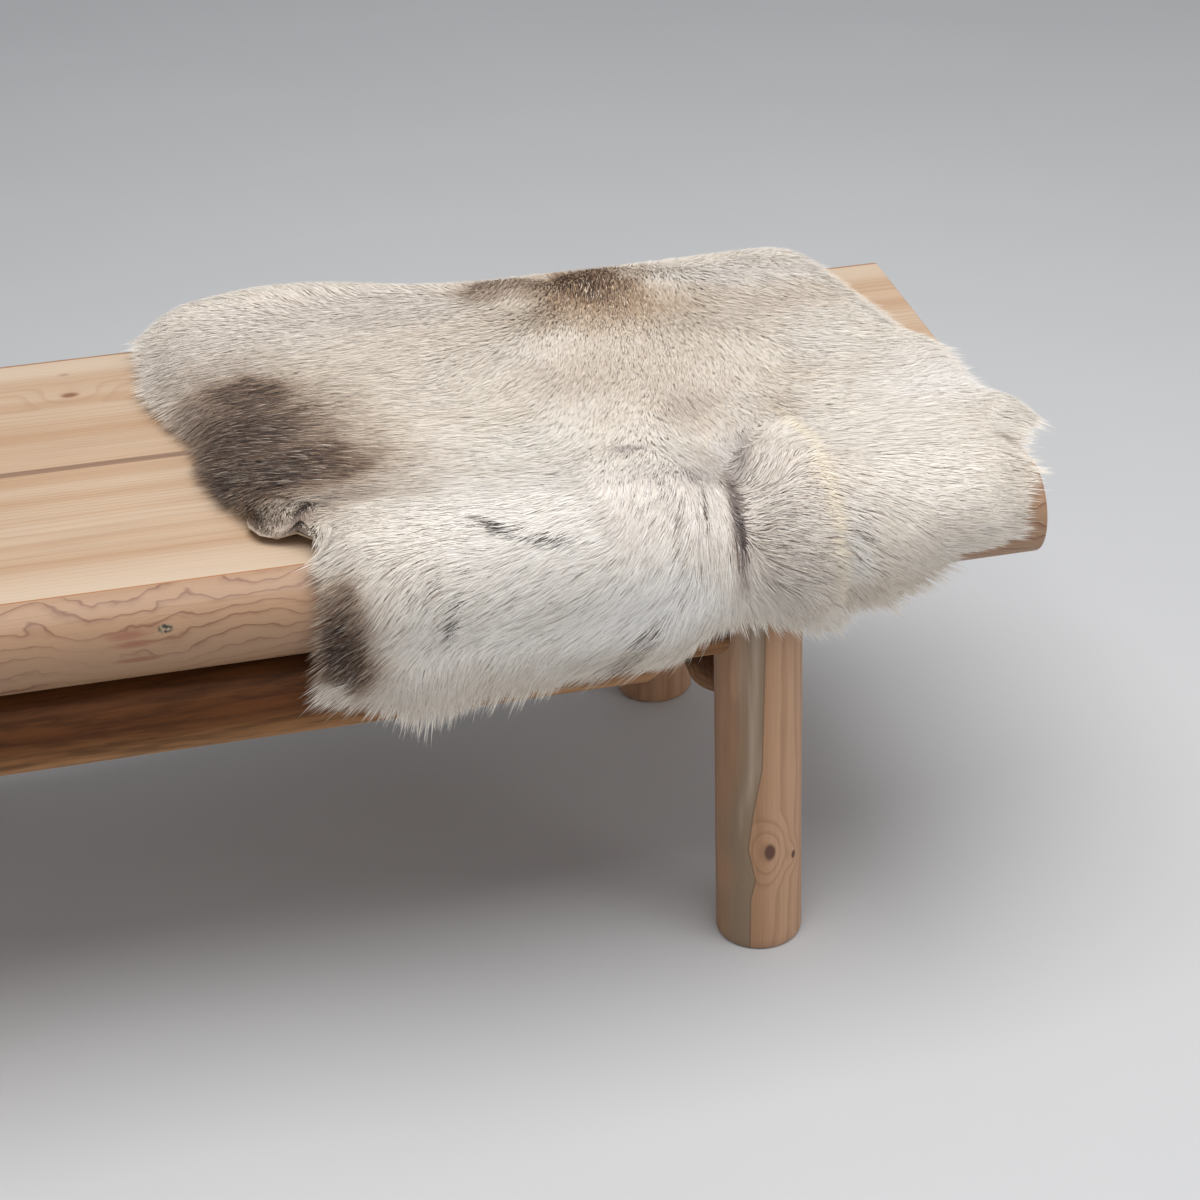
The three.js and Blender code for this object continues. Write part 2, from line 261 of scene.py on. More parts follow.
RING_STOPS = [(0, 0.0), (0.55, 0.06), (0.86, 1.0), (0.95, 0.75), (1, 0.0)]  # one ring, early to late wood
SWAY_LUMPS = (2.4, 9)  # lumps a metre, along the grain and across it, as in the next ones
BAND_LUMPS, BAND_STOPS = (0.8, 26), [(0.38, 0.0), (0.66, 1.0)]
FIBRE_LUMPS, FIBRE_STOPS = (10, 520), [(0.25, 0.86), (0.6, 1.0), (0.8, 1.06)]
KNOT_SQUEEZE = 0.62  # of a distance along the grain, so that knots are longer that way
KNOT_SWIRL, KNOT_PUSH = 5, 1.5  # how far off rings swerve round a knot, and how much, in its radii
KNOT_RIM, KNOT_CORE = 1.15, 0.6  # where its colour begins and where it is full, in its radii
RING_RELIEF, GRAIN_BUMP, GRAIN_DEPTH = 0.5, 0.35, 0.0006


def cedar(name, axis, pith, look, knots=(), seed=0.0):
    """Solid cedar: rings round a pith line along an axis, fibres, soft bands and knots. Gives the
    material, its tree and shader, the place from the leg's foot, the colour, the knots and the rings."""
    material, tree, shader = plain_material(name, look["roughness"])
    spot = node(tree, "ShaderNodeTexCoord").outputs["Object"]
    place = vectors(tree, "SUBTRACT", spot, BENCH)
    own = vectors(tree, "ADD", place, (seed, seed, seed))

    sway = noise(tree, stretched(tree, own, axis, *SWAY_LUMPS), 1.0, 3).outputs["Color"]
    sway = vectors(tree, "SUBTRACT", sway, (0.5, 0.5, 0.5))
    sway = node(tree, "ShaderNodeVectorMath", {0: sway, "Scale": look["sway"]}, operation="SCALE")
    off = vectors(tree, "ADD", place, sway.outputs[0])
    off = vectors(tree, "SUBTRACT", off, pith)
    depth = length_of(tree, stretched(tree, off, axis, 0, 1))

    knot_share = None
    for x, y, z, radius in knots:
        away = vectors(tree, "SUBTRACT", place, (x, y, z))
        away = length_of(tree, stretched(tree, away, axis, KNOT_SQUEEZE, 1))
        near = between(tree, away, radius * KNOT_SWIRL, 0.0, kind="SMOOTHSTEP")
        depth = figure(tree, "MULTIPLY_ADD", near, radius * KNOT_PUSH, depth)
        inside = between(tree, away, radius * KNOT_RIM, radius * KNOT_CORE, kind="SMOOTHSTEP")
        knot_share = inside if knot_share is None else figure(tree, "MAXIMUM", knot_share, inside)

    turn = figure(tree, "FRACT", figure(tree, "DIVIDE", depth, look["ring"]))
    rings = ramp(tree, turn, RING_STOPS)
    bands = noise(tree, stretched(tree, own, axis, *BAND_LUMPS), 1.0, 2).outputs["Fac"]
    bands = ramp(tree, bands, BAND_STOPS)
    fibre = noise(tree, stretched(tree, own, axis, *FIBRE_LUMPS), 1.0, 2, 0.7).outputs["Fac"]

    colour = blend(tree, bands, look["pale"], look["warm"])
    ring_share = figure(tree, "MULTIPLY", rings, look["line_share"])
    colour = blend(tree, ring_share, colour, look["line"])
    colour = blend(tree, 1.0, colour, ramp(tree, fibre, FIBRE_STOPS), "MULTIPLY")
    if knot_share is not None:
        colour = blend(tree, knot_share, colour, look["knot"])
    relief = figure(tree, "MULTIPLY_ADD", rings, RING_RELIEF, fibre)
    bump = node(tree, "ShaderNodeBump", {"Height": relief, "Strength": GRAIN_BUMP, "Distance": GRAIN_DEPTH})
    tree.links.new(bump.outputs[0], shader.inputs["Normal"])
    return material, tree, shader, place, colour, knot_share, rings


END_PALE, END_LINE, END_LINE_SHARE = paint(176, 138, 104), paint(118, 78, 50), 0.75
END_DEPTH = 0.0005  # how deep the look of end grain goes


def with_ends(tree, colour, place, axis, low, high, rings):
    """A wood's colour, with its rings on the two sawn ends."""
    along = node(tree, "ShaderNodeSeparateXYZ", {0: place}).outputs[axis]
    off = figure(tree, "ABSOLUTE", figure(tree, "SUBTRACT", along, (low + high) / 2))
    sawn = figure(tree, "GREATER_THAN", off, (high - low) / 2 - END_DEPTH)
    end_grain = blend(tree, figure(tree, "MULTIPLY", rings, END_LINE_SHARE), END_PALE, END_LINE)
    return blend(tree, sawn, colour, end_grain)


SAWN = {
    "pale": paint(190, 165, 139),
    "warm": paint(177, 143, 112),
    "line": paint(156, 118, 88),
    "line_share": 0.28,
    "knot": paint(128, 86, 58),
    "ring": 0.0042,
    "sway": 0.011,
    "roughness": 0.5,
}
PLANK_PITH_IN, PLANK_PITH_DROP = 0.075, 0.020  # in towards the joint and down, from the nose's middle
SEAT_KNOTS = [(-0.561, 0.361, 0.450, 0.007), (-0.565, 0.407, 0.452, 0.004), (-0.502, -0.041, 0.429, 0.0042)]
SAPWOOD = paint(198, 179, 157)
SAP_FROM, SAP_TO, SAP_SHARE = -0.045, -0.015, 0.6  # a pale strip beside the round outside

# the round outside: the log's own redder face, also painted darker for the shade on this steep face
NOSE_PALE, NOSE_LINE = paint(160, 126, 97), paint(112, 70, 48)
NOSE_STOPS = [(0, 0.0), (0.5, 0.0), (0.8, 0.34), (0.9, 1.0), (0.95, 0.5), (1, 0.0)]
NOSE_LINES_UP, NOSE_SWAY = 96, 8.5  # ring lines a metre up the round outside, and how far they wander
DRIFT_LUMPS = (8, 11)
FAINT_LUMPS, FAINT_STOPS = (6, 24), [(0.34, 0.15), (0.58, 0.85)]
FLAME = paint(138, 88, 66)
FLAMES = [  # red flecks left of the nose's knot: along x, up z, half long, half tall
    (-0.532, 0.428, 0.030, 0.0050), (-0.526, 0.420, 0.026, 0.0040), (-0.527, 0.405, 0.028, 0.0036),
]
FRAY_LUMPS, FRAYING, FLAME_STOPS = (30, 260), 0.6, [(0.45, 0.8), (0.72, 0.0)]
NOSE_KNOT, NOSE_KNOT_PALE = paint(52, 44, 36), paint(150, 130, 106)
CHECK_LUMPS, CHECK_STOPS = 330, [(0.48, 0.0), (0.62, 1.0)]  # fine cracks in that knot

ARRIS_LINE, ARRIS_LINE_HALF = paint(158, 106, 62), 0.0008
# the joint's chamfer is painted darker: dirt, and painted shade in the groove
JOINT_DIRT_AND_SHADE, DARKENED_PAST_CHAMFER = paint(132, 100, 74), 0.0004


def round_face(tree, place, knot):
    """The log's own redder face on the round outside, painted darker as well for the shade on this steep
    face: wandering ring lines, flames and a knot.
    """
    height = node(tree, "ShaderNodeSeparateXYZ", {0: place}).outputs[2]
    drift = noise(tree, stretched(tree, place, 0, *DRIFT_LUMPS), 1.0, 4, 0.5).outputs["Fac"]
    cut = figure(tree, "MULTIPLY_ADD", height, NOSE_LINES_UP, figure(tree, "MULTIPLY", drift, NOSE_SWAY))
    wave = ramp(tree, figure(tree, "FRACT", cut), NOSE_STOPS)
    faint = noise(tree, stretched(tree, place, 0, *FAINT_LUMPS), 1.0, 2).outputs["Fac"]
    wave = figure(tree, "MULTIPLY", wave, ramp(tree, faint, FAINT_STOPS))
    face = blend(tree, wave, NOSE_PALE, NOSE_LINE)
    frays = noise(tree, stretched(tree, place, 0, *FRAY_LUMPS), 0.5).outputs["Fac"]
    frays = figure(tree, "MULTIPLY", frays, FRAYING)
    for x, z, long, tall in FLAMES:
        away = vectors(tree, "SUBTRACT", place, (x, 0, z))
        away = length_of(tree, vectors(tree, "MULTIPLY", away, (1 / long, 0, 1 / tall)))
        frayed = figure(tree, "MULTIPLY_ADD", away, 0.5, frays)
        face = blend(tree, ramp(tree, frayed, FLAME_STOPS), face, FLAME)
    checks = ramp(tree, noise(tree, place, CHECK_LUMPS, 3, 0.6).outputs["Fac"], CHECK_STOPS)
    return blend(tree, knot, face, blend(tree, checks, NOSE_KNOT, NOSE_KNOT_PALE))


for side, outwards, seed in (("front", -1, 3.1), ("back", 1, 11.7)):
    low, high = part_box(f"seat_plank_{side}")
    nose_y = (low[1] + NOSE_RADIUS if outwards < 0 else high[1] - NOSE_RADIUS) - BENCH.y
    joint_y = (high[1] if outwards < 0 else low[1]) - BENCH.y
    pith = (0, nose_y - outwards * PLANK_PITH_IN, low[2] + NOSE_RADIUS - PLANK_PITH_DROP)
    material, tree, shader, place, colour, knot, rings = cedar(
        f"sawn_cedar_{side}", 0, pith, SAWN, SEAT_KNOTS, seed
    )
    across = node(tree, "ShaderNodeSeparateXYZ", {0: place}).outputs[1]
    past = figure(tree, "MULTIPLY", figure(tree, "SUBTRACT", across, nose_y), float(outwards))
    crown = math.sqrt(NOSE_RADIUS**2 - (high[2] - low[2] - NOSE_RADIUS) ** 2)
    planed = blend(tree, between(tree, past, SAP_FROM, SAP_TO, last=SAP_SHARE), colour, SAPWOOD)
    outer = figure(tree, "GREATER_THAN", past, crown)
    worked = blend(tree, outer, planed, round_face(tree, place, knot))
    # An orange line follows the arris over the round outside, and the joint's chamfer is painted darker,
    # for dirt and for painted shade in the groove.
    edge_line = figure(tree, "ABSOLUTE", figure(tree, "SUBTRACT", past, crown))
    worked = blend(tree, figure(tree, "LESS_THAN", edge_line, ARRIS_LINE_HALF), worked, ARRIS_LINE)
    joint = figure(tree, "ABSOLUTE", figure(tree, "SUBTRACT", across, joint_y))
    joint_darkened = figure(tree, "LESS_THAN", joint, JOINT_CHAMFER + DARKENED_PAST_CHAMFER)
    worked = blend(tree, joint_darkened, worked, JOINT_DIRT_AND_SHADE)
    worked = with_ends(tree, worked, place, 0, low[0] - BENCH.x, high[0] - BENCH.x, rings)
    tree.links.new(worked, shader.inputs["Base Color"])
    mesh = plank_mesh(f"plank_{side}", low, high, outwards)
    show(f"plank_{side}", mesh, material, f"seat_plank_{side}", slot="seat_wood")

# ---------------------------------------------------------------- peeled logs
# Legs, side rails and end stretchers are young cedar logs, peeled by hand and turned at the ends:
# each rail and stretcher has a coned shoulder and a tenon that reaches into a leg.

MM = 0.001
LOG_SIDES = 56
LOG_STATIONS = 40
LOG_CRISP = math.radians(28)
UNEVEN = 0.010  # how far a peeled log's radius strays from round, as a share
STRAY_MOST, STRAY_IN = 2.2, 0.6  # keep it within the log's full size
GRAIN_STEP = 1.7  # moves each log on to another stretch of grain
LEG_TAPER = 0.97
FOOT_EASE, FOOT_EASE_MIDDLE = 0.004, 0.3
TENON_RADIUS = 0.024
TENON_DEPTH, TENON_NECK, SHOULDER = 0.030, 0.030, 0.034

PEELED = {
    "pale": paint(186, 146, 114),
    "warm": paint(162, 120, 86),
    "line": paint(126, 86, 58),
    "line_share": 0.35,
    "knot": paint(92, 58, 42),
    "ring": 0.0034,
    "sway": 0.016,
    "roughness": 0.58,
}


def log_mesh(name, profile, middle, axis, seed):
    """A log along an axis. The profile has (along, radius, unevenness share) from end to end."""
    around = np.linspace(0, 2 * math.pi, LOG_SIDES, endpoint=False)
    phase = np.random.default_rng(seed).uniform(0, 2 * math.pi, 4)
    rings = []
    for along, radius, share in profile:
        stray = np.sin(2 * around + phase[0] + 3 * along) + 0.7 * np.sin(3 * around + phase[1] - 7 * along)
        stray += 0.5 * np.sin(5 * around + phase[2] + 16 * along) + 0.5 * np.sin(phase[3] + 22 * along)
        reach = radius * (1 + UNEVEN * share * (stray / STRAY_MOST - STRAY_IN))
        ring = np.zeros((LOG_SIDES, 3))
        ring[:, axis] = along
        ring[:, (axis + 1) % 3] = reach * np.cos(around)
        ring[:, (axis + 2) % 3] = reach * np.sin(around)
        rings.append(ring + middle)
    return loft(name, rings, LOG_CRISP)


def stretch_of(start, end, first, last):
    """Even stations along the full log, with their radii."""
    shares = np.linspace(0, 1, LOG_STATIONS)
    return [(start + share * (end - start), first + share * (last - first), 1) for share in shares]


LEGS = ("leg_front_right", "leg_back_right", "leg_front_left", "leg_back_left")
LEG_PITH = (0.006, 0.008)  # off the leg's middle
LEG_KNOTS = [(0.0, -0.039, 0.110, 0.006), (0.024, -0.031, 0.098, 0.003)]
STAINED = ("leg_front_right", "leg_back_left")
STAIN, STAIN_PALE, STAIN_RIM = paint(130, 112, 90), paint(176, 160, 142), paint(104, 84, 64)
STAIN_TALL, STAIN_REACH = 0.42, 0.030  # height of the table below, and its reach left of the leg's middle
STAIN_BORDER = [  # share of the height, share of the reach
    (0.0, 0.40), (0.136, 0.43), (0.19, 0.57), (0.27, 0.37), (0.36, 0.50), (0.48, 0.77), (0.8, 0.87),
]
STAIN_EDGE = (0.0004, -0.0008)  # across the border, from outside to inside
STAIN_FADE = (-0.024, -0.012, 0.1, 0.85)  # from and to inside the border, and its share there
STREAK_LUMPS, STREAK_STOPS = (4, 70), [(0.5, 0.0), (0.66, 0.6)]
PALE_IN, PALE_ACROSS = 0.008, (0.006, 0.001, 0.0, 0.8)  # the pale streak, inside the border
PALE_STOPS, PALE_FROM = [(0.4, 0.3), (0.6, 1.0)], (0.12, 0.17)
STAIN_RIM_HALF, STAIN_RIM_SHARE = 0.0007, 0.7


def stained(tree, place, colour, middle):
    """Wood with a grey stain up one side: a wandering border, a dark rim and a paler streak inside."""
    parts = node(tree, "ShaderNodeSeparateXYZ", {0: place})
    border = ramp(tree, figure(tree, "DIVIDE", parts.outputs[2], STAIN_TALL), STAIN_BORDER)
    border = figure(tree, "MULTIPLY_ADD", border, STAIN_REACH, middle - STAIN_REACH)
    off = figure(tree, "SUBTRACT", parts.outputs[0], border)
    inside = between(tree, off, *STAIN_EDGE)
    fade = between(tree, off, *STAIN_FADE)
    streak = noise(tree, stretched(tree, place, 2, *STREAK_LUMPS), 1.0, 3).outputs["Fac"]
    stain = blend(tree, ramp(tree, streak, STREAK_STOPS), STAIN, STAIN_PALE)
    pale = figure(tree, "ABSOLUTE", figure(tree, "ADD", off, PALE_IN))
    pale = between(tree, pale, *PALE_ACROSS)
    pale = figure(tree, "MULTIPLY", pale, ramp(tree, streak, PALE_STOPS))
    high_up = between(tree, parts.outputs[2], *PALE_FROM)
    stain = blend(tree, figure(tree, "MULTIPLY", pale, high_up), stain, STAIN_PALE)
    colour = blend(tree, figure(tree, "MULTIPLY", inside, fade), colour, stain)
    rim = figure(tree, "LESS_THAN", figure(tree, "ABSOLUTE", off), STAIN_RIM_HALF)
    return blend(tree, figure(tree, "MULTIPLY", rim, STAIN_RIM_SHARE), colour, STAIN_RIM)


for seed, name in enumerate(LEGS, 5):
    low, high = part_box(name)
    radius = (high[0] - low[0]) / 2
    height = high[2] - low[2]
    middle = ((low[0] + high[0]) / 2, (low[1] + high[1]) / 2, low[2])
    eased = FOOT_EASE * FOOT_EASE_MIDDLE
    profile = [(0, radius - FOOT_EASE, 0.4), (eased, radius - eased, 0.7)]
    profile += stretch_of(FOOT_EASE, height, radius, radius * LEG_TAPER)
    pith = (middle[0] - BENCH.x + LEG_PITH[0], middle[1] - BENCH.y + LEG_PITH[1], 0)
    knots = LEG_KNOTS if name == "leg_front_right" else ()
    material, tree, shader, place, colour, _, rings = cedar(
        f"peeled_{name}", 2, pith, PEELED, knots, seed * GRAIN_STEP
    )
    if name in STAINED:
        colour = stained(tree, place, colour, middle[0] - BENCH.x)
    colour = with_ends(tree, colour, place, 2, 0, height, rings)
    tree.links.new(colour, shader.inputs["Base Color"])
    mesh = log_mesh(name, profile, Vector(middle), 2, seed)
    show(f"peeled_{name}", mesh, material, name, slot="log_wood")


def tenoned(low, high, axis, seed, name):
    """A log with a shoulder and a tenon at each end, in a CAD node's place."""
    middle = (Vector(low) + Vector(high)) / 2
    tip = (high[axis] - low[axis]) / 2
    radius = (high[(axis + 1) % 3] - low[(axis + 1) % 3]) / 2
    neck = tip - TENON_DEPTH - TENON_NECK
    shoulder = neck - SHOULDER
    half_log = [(neck, TENON_RADIUS, 0.3), (neck + MM, TENON_RADIUS, 0.1), (tip, TENON_RADIUS, 0)]
    profile = [(-along, r, share) for along, r, share in reversed(half_log)]
    profile += stretch_of(-shoulder, shoulder, radius, radius)
    profile += half_log
    return log_mesh(name, profile, middle, axis, seed)


# a darker copy of the peeled wood for the logs under the seat: partly darker wood, partly painted shade
SHADED = dict(PEELED, pale=paint(180, 138, 98), warm=paint(158, 112, 70), line=paint(116, 74, 42))
SHADED_GLEAM = 0.15
CROSS_LOGS = [  # node, axis that it lies along, seed
    ("side_rail_front", 0, 11), ("side_rail_back", 0, 12),
    ("end_stretcher_right", 1, 15), ("end_stretcher_left", 1, 16),
]
CROSS_PITH = Vector((0.007, 0.007, 0.006))  # off the log's middle
# painted shade: a darker brown tint over the upper side of each rail and stretcher
TOP_SHADE_TINT, TOP_SHADE_UNEVEN = paint(120, 84, 36), 0.012
TOP_SHADE_FROM, TOP_SHADE_TO, TOP_SHADE_SHARE = -0.022, 0.012, 0.9  # heights on the log, and the share at the top
TOP_SHADE_LUMPS = (5, 60)
SCRAPE_LUMPS, SCRAPE_STOPS = (16, 150), [(0.38, 0.66), (0.52, 1.0), (0.7, 1.16)]

for name, axis, seed in CROSS_LOGS:
    low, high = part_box(name)
    middle = (Vector(low) + Vector(high)) / 2 - BENCH
    material, tree, shader, place, colour, _, rings = cedar(
        f"peeled_{name}", axis, middle + CROSS_PITH, SHADED, (), seed * GRAIN_STEP
    )
    shader.inputs["Specular IOR Level"].default_value = SHADED_GLEAM
    # Painted shade: the upper side is tinted a darker brown, for the shade under the seat.
    up = figure(tree, "SUBTRACT", node(tree, "ShaderNodeSeparateXYZ", {0: place}).outputs[2], middle[2])
    patchy = noise(tree, stretched(tree, place, axis, *TOP_SHADE_LUMPS), 1.0, 3).outputs["Fac"]
    up = figure(tree, "MULTIPLY_ADD", patchy, TOP_SHADE_UNEVEN, up)
    top_shaded = between(tree, up, TOP_SHADE_FROM, TOP_SHADE_TO, last=TOP_SHADE_SHARE)
    colour = blend(tree, top_shaded, colour, blend(tree, 1.0, colour, TOP_SHADE_TINT, "MULTIPLY"))
    scraped = noise(tree, stretched(tree, place, axis, *SCRAPE_LUMPS), 1.0, 4, 0.6).outputs["Fac"]
    colour = blend(tree, 1.0, colour, ramp(tree, scraped, SCRAPE_STOPS), "MULTIPLY")
    first, last = low[axis] - BENCH[axis], high[axis] - BENCH[axis]
    colour = with_ends(tree, colour, place, axis, first, last, rings)
    tree.links.new(colour, shader.inputs["Base Color"])
    show(f"peeled_{name}", tenoned(low, high, axis, seed, name), material, name, slot="log_wood")

# ---------------------------------------------------------------- the hide's skin
# One tanned reindeer skin, about 2 mm thick, with its rough natural edge. It is thrown over the
# bench's end: it lies on the planks, rolls over both noses and hangs, and a tongue reaches past the end.

plank_low, plank_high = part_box("seat_plank_front")
_, back_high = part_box("seat_plank_back")
NOSE_MM = NOSE_RADIUS / MM
NOSE_Z = (plank_low[2] - BENCH.z) / MM + NOSE_MM
SEAT_MIDDLE = ((plank_low[1] + back_high[1]) / 2 - BENCH.y) / MM
HALF_FLAT = (back_high[1] - plank_low[1]) / 2 / MM - NOSE_MM
BENCH_END = (plank_high[0] - BENCH.x) / MM

HIDE_LIFT = 3  # clear space between skin and wood, in millimetres as all the hide's sizes are
TONGUE_SAG = 0.006  # how fast the tongue past the bench's end bends down
PILE, RIM_PILE = 26, 10  # skin and hair together, on the hide and at its edge
RIM_WIDTH = 46  # how far in from the edge the hair reaches its full depth
RIM_LEAD = RIM_WIDTH / 4  # its slope starts this far outside the edge
EVEN_REACH = 200  # how far from the seat's middle the rows stay parallel to it
HAIR_PAST_SKIN = 15  # how far the lying hair reaches past the skin's edge
SKIN_THICK = 2.2
SKIN_RAGGED = 5  # how far the skin's rim wanders in and out
RIM_DEEP = 60  # how far in from the hair's outline the rim's own shape is felt
SKIN_COLUMNS, SKIN_ROWS = 84, 104
CORNER_ROUNDING = 0.5  # 0 leaves the corners in the tables below sharp

# The hide is drawn flat: "along" runs over the bench from back to front, 0 in the seat's middle,
# and "across" is from the right front leg towards the bench's right end.
LEFT_EDGE = [  # along, across
    (-545, -395), (-450, -440), (-285, -482), (-216, -494), (-134, -496), (-77, -486), (-8, -459),
    (52, -455), (101, -446), (143, -429), (175, -407), (205, -383), (250, -375), (300, -379), (350, -388),
]
RIGHT_EDGE = [  # along, across
    (-545, 118), (-430, 172), (-285, 178), (-216, 184), (-96, 207), (-28, 221), (-8, 240), (73, 237),
    (105, 248), (142, 277), (186, 245), (215, 233), (232, 240), (246, 227), (268, 220), (296, 211),
]
FRONT_EDGE = [  # across, along
    (-390, 332), (-349, 363), (-301, 381), (-240, 370), (-113, 371), (-84, 368), (-50, 344), (-24, 334),
    (40, 354), (62, 333), (92, 340), (126, 321), (152, 304), (200, 301), (222, 284),
]
BACK_EDGE = [  # across, along
    (-440, -452), (-380, -505), (-290, -530), (-170, -516), (-50, -545), (60, -522), (130, -468),
    (176, -400),
]
SKIN_FOLDS = [  # across, along, half width, half length, height, lean
    (-360, -250, 115, 60, 21, 0),
    (28, 225, 36, 100, 14, 0.03),
    (-215, 232, 130, 66, 9, 0),
    (160, 110, 70, 95, 7, 0),
    (-300, -430, 40, 120, 16, 0.1),
    (-110, -440, 38, 110, 14, -0.12),
    (85, -420, 40, 110, 15, 0.08),
]
EDGE_CURLS = [  # small lifts of the skin's rim, in the same columns
    (-381, 193, 9, 17, 9, -0.2),
    (-412, 172, 18, 12, 2, 0),
    (-440, 120, 22, 20, 3, 0),
]
HAIR_FOLDS = [(-24, 225, 26, 118, -14, -0.06)]
BARE_CORNER = (-404, 178, 32)  # across, along, radius: here the hair is thin and the skin's rim shows
BARE_PUSH = (-28, 6)  # how far the skin's rim reaches out there, across and along
BARE_OUT = 31  # the same, measured from the hair's outline
HOLD_STEPS, HOLD_SHARE = 10, 0.5  # to find where a pushed-out place came from
LATTICE, LATTICE_SHIFT = 256, 100  # size of the noise's table, and its place on the hide


def smooth_step(value, start, end):
    share = np.clip((value - start) / (end - start), 0, 1)
    return share * share * (3 - 2 * share)


def read_table(rows, value):
    """Reads a table at a value of its first column, rounding the corners between its rows."""
    keys, found = np.array(rows, float).T
    value = np.clip(value, keys[0], keys[-1])
    row = np.clip(np.searchsorted(keys, value, side="right") - 1, 0, len(keys) - 2)
    share = (value - keys[row]) / (keys[row + 1] - keys[row])
    eased = (1 - CORNER_ROUNDING) * share + CORNER_ROUNDING * smooth_step(share, 0, 1)
    return found[row] + eased * (found[row + 1] - found[row])


def fold_height(folds, across, along):
    height = np.zeros(np.shape(across))
    for middle, at, wide, long, tall, lean in folds:
        by_along = (along - at) / long
        by_across = (across - middle - lean * (along - at)) / wide
        height += tall * np.exp(-by_along**2 - by_across**2)
    return height


def edge_room(across, along):
    """How far a place lies inside the hair's outline."""
    room = np.minimum(across - read_table(LEFT_EDGE, along), read_table(RIGHT_EDGE, along) - across)
    room = np.minimum(room, along - read_table(BACK_EDGE, across))
    return np.minimum(room, read_table(FRONT_EDGE, across) - along)


def bare(across, along):
    """1 at the bare corner, falling to 0 round it."""
    middle, at, radius = BARE_CORNER
    return np.exp(-((across - middle) ** 2 + (along - at) ** 2) / radius**2)


def rim_room(across, along):
    """How far a place lies inside the hair's outline as the bare corner moves it out."""
    return edge_room(across, along) + BARE_OUT * bare(across, along)


def pushed_out(across, along):
    """Flat places, with those near the rim moved out at the bare corner."""
    share = smooth_step(edge_room(across, along), RIM_DEEP, HAIR_PAST_SKIN) * bare(across, along)
    return across + BARE_PUSH[0] * share, along + BARE_PUSH[1] * share


def held_back(across, along):
    """The flat places that pushed_out moves to the given ones."""
    start_across, start_along = across, along
    for _ in range(HOLD_STEPS):
        there = pushed_out(start_across, start_along)
        start_across = start_across + HOLD_SHARE * (across - there[0])
        start_along = start_along + HOLD_SHARE * (along - there[1])
    return start_across, start_along


def pile_depth(across, along):
    """Depth of skin and hair together."""
    inward = smooth_step(rim_room(across, along), -RIM_LEAD, RIM_WIDTH)
    return RIM_PILE + inward * (PILE + fold_height(HAIR_FOLDS, across, along) - RIM_PILE)


def lying(across, along, out):
    """Places in metres on the bench's outside, standing out from the skin's underside."""
    lift = fold_height(SKIN_FOLDS, across, along) + fold_height(EDGE_CURLS, across, along)
    out = out + lift
    radius = NOSE_MM + HIDE_LIFT
    quarter = radius * math.pi / 2
    past = np.abs(along) - HALF_FLAT
    turn = np.clip(past / radius, 0, math.pi / 2)
    hanging = np.maximum(past - quarter, 0)
    reach = np.where(past > 0, HALF_FLAT + (radius + out) * np.sin(turn), np.abs(along))
    y = SEAT_MIDDLE - np.sign(along) * reach
    z = NOSE_Z + (radius + out) * np.cos(turn) - hanging
    z = z - TONGUE_SAG * np.maximum(across - BENCH_END, 0) ** 2
    return np.stack([across, y, z], -1) * MM + np.array(BENCH)


def flat_grid(columns, rows, inset):
    """Flat places over the whole hide, in even rows on the seat, drawn in from the hair's outline."""
    column, row = np.meshgrid(np.linspace(0, 1, columns + 1), np.linspace(0, 1, rows + 1))
    back_most = min(along for _, along in BACK_EDGE)
    front_most = max(along for _, along in FRONT_EDGE)
    even = back_most + row * (front_most - back_most)

    def across_at(along):
        left = read_table(LEFT_EDGE, along) + inset
        right = read_table(RIGHT_EDGE, along) - inset
        return left + column * (right - left)

    across = across_at(even)
    for side, table, furthest in ((1, FRONT_EDGE, front_most), (-1, BACK_EDGE, -back_most)):
        beyond = side * even > EVEN_REACH
        edge = np.abs(read_table(table, across)) - inset
        share = (np.abs(even) - EVEN_REACH) / (furthest - EVEN_REACH)
        even = np.where(beyond, side * (EVEN_REACH + share * (edge - EVEN_REACH)), even)
    return across_at(even), even


def value_noise(across, along, size, seed):
    """Smooth noise from 0 to 1 on the flat hide, with lumps of about a size."""
    lattice = np.random.default_rng(seed).random((LATTICE, LATTICE))
    u, v = across / size + LATTICE_SHIFT, along / size + LATTICE_SHIFT
    i, j = np.floor(u).astype(int), np.floor(v).astype(int)
    s, t = smooth_step(u - i, 0, 1), smooth_step(v - j, 0, 1)
    i, j = i % (LATTICE - 1), j % (LATTICE - 1)
    top = lattice[i, j] * (1 - s) + lattice[i + 1, j] * s
    low = lattice[i, j + 1] * (1 - s) + lattice[i + 1, j + 1] * s
    return top * (1 - t) + low * t


def mesh_of(name, points, faces):
    """A mesh from an array of points and an array of faces that all have as many corners."""
    mesh = bpy.data.meshes.new(name)
    count, size = faces.shape
    mesh.vertices.add(len(points))
    mesh.vertices.foreach_set("co", np.asarray(points, np.float32).ravel())
    mesh.loops.add(count * size)
    mesh.loops.foreach_set("vertex_index", faces.astype(np.int32).ravel())
    mesh.polygons.add(count)
    mesh.polygons.foreach_set("loop_start", np.arange(0, count * size, size, dtype=np.int32))
    mesh.update(calc_edges=True)
    mesh.shade_smooth()
    return mesh


def grid_faces(columns, rows):
    start = (np.arange(rows)[:, None] * (columns + 1) + np.arange(columns)).ravel()
    return np.stack([start, start + columns + 1, start + columns + 2, start + 1], 1)


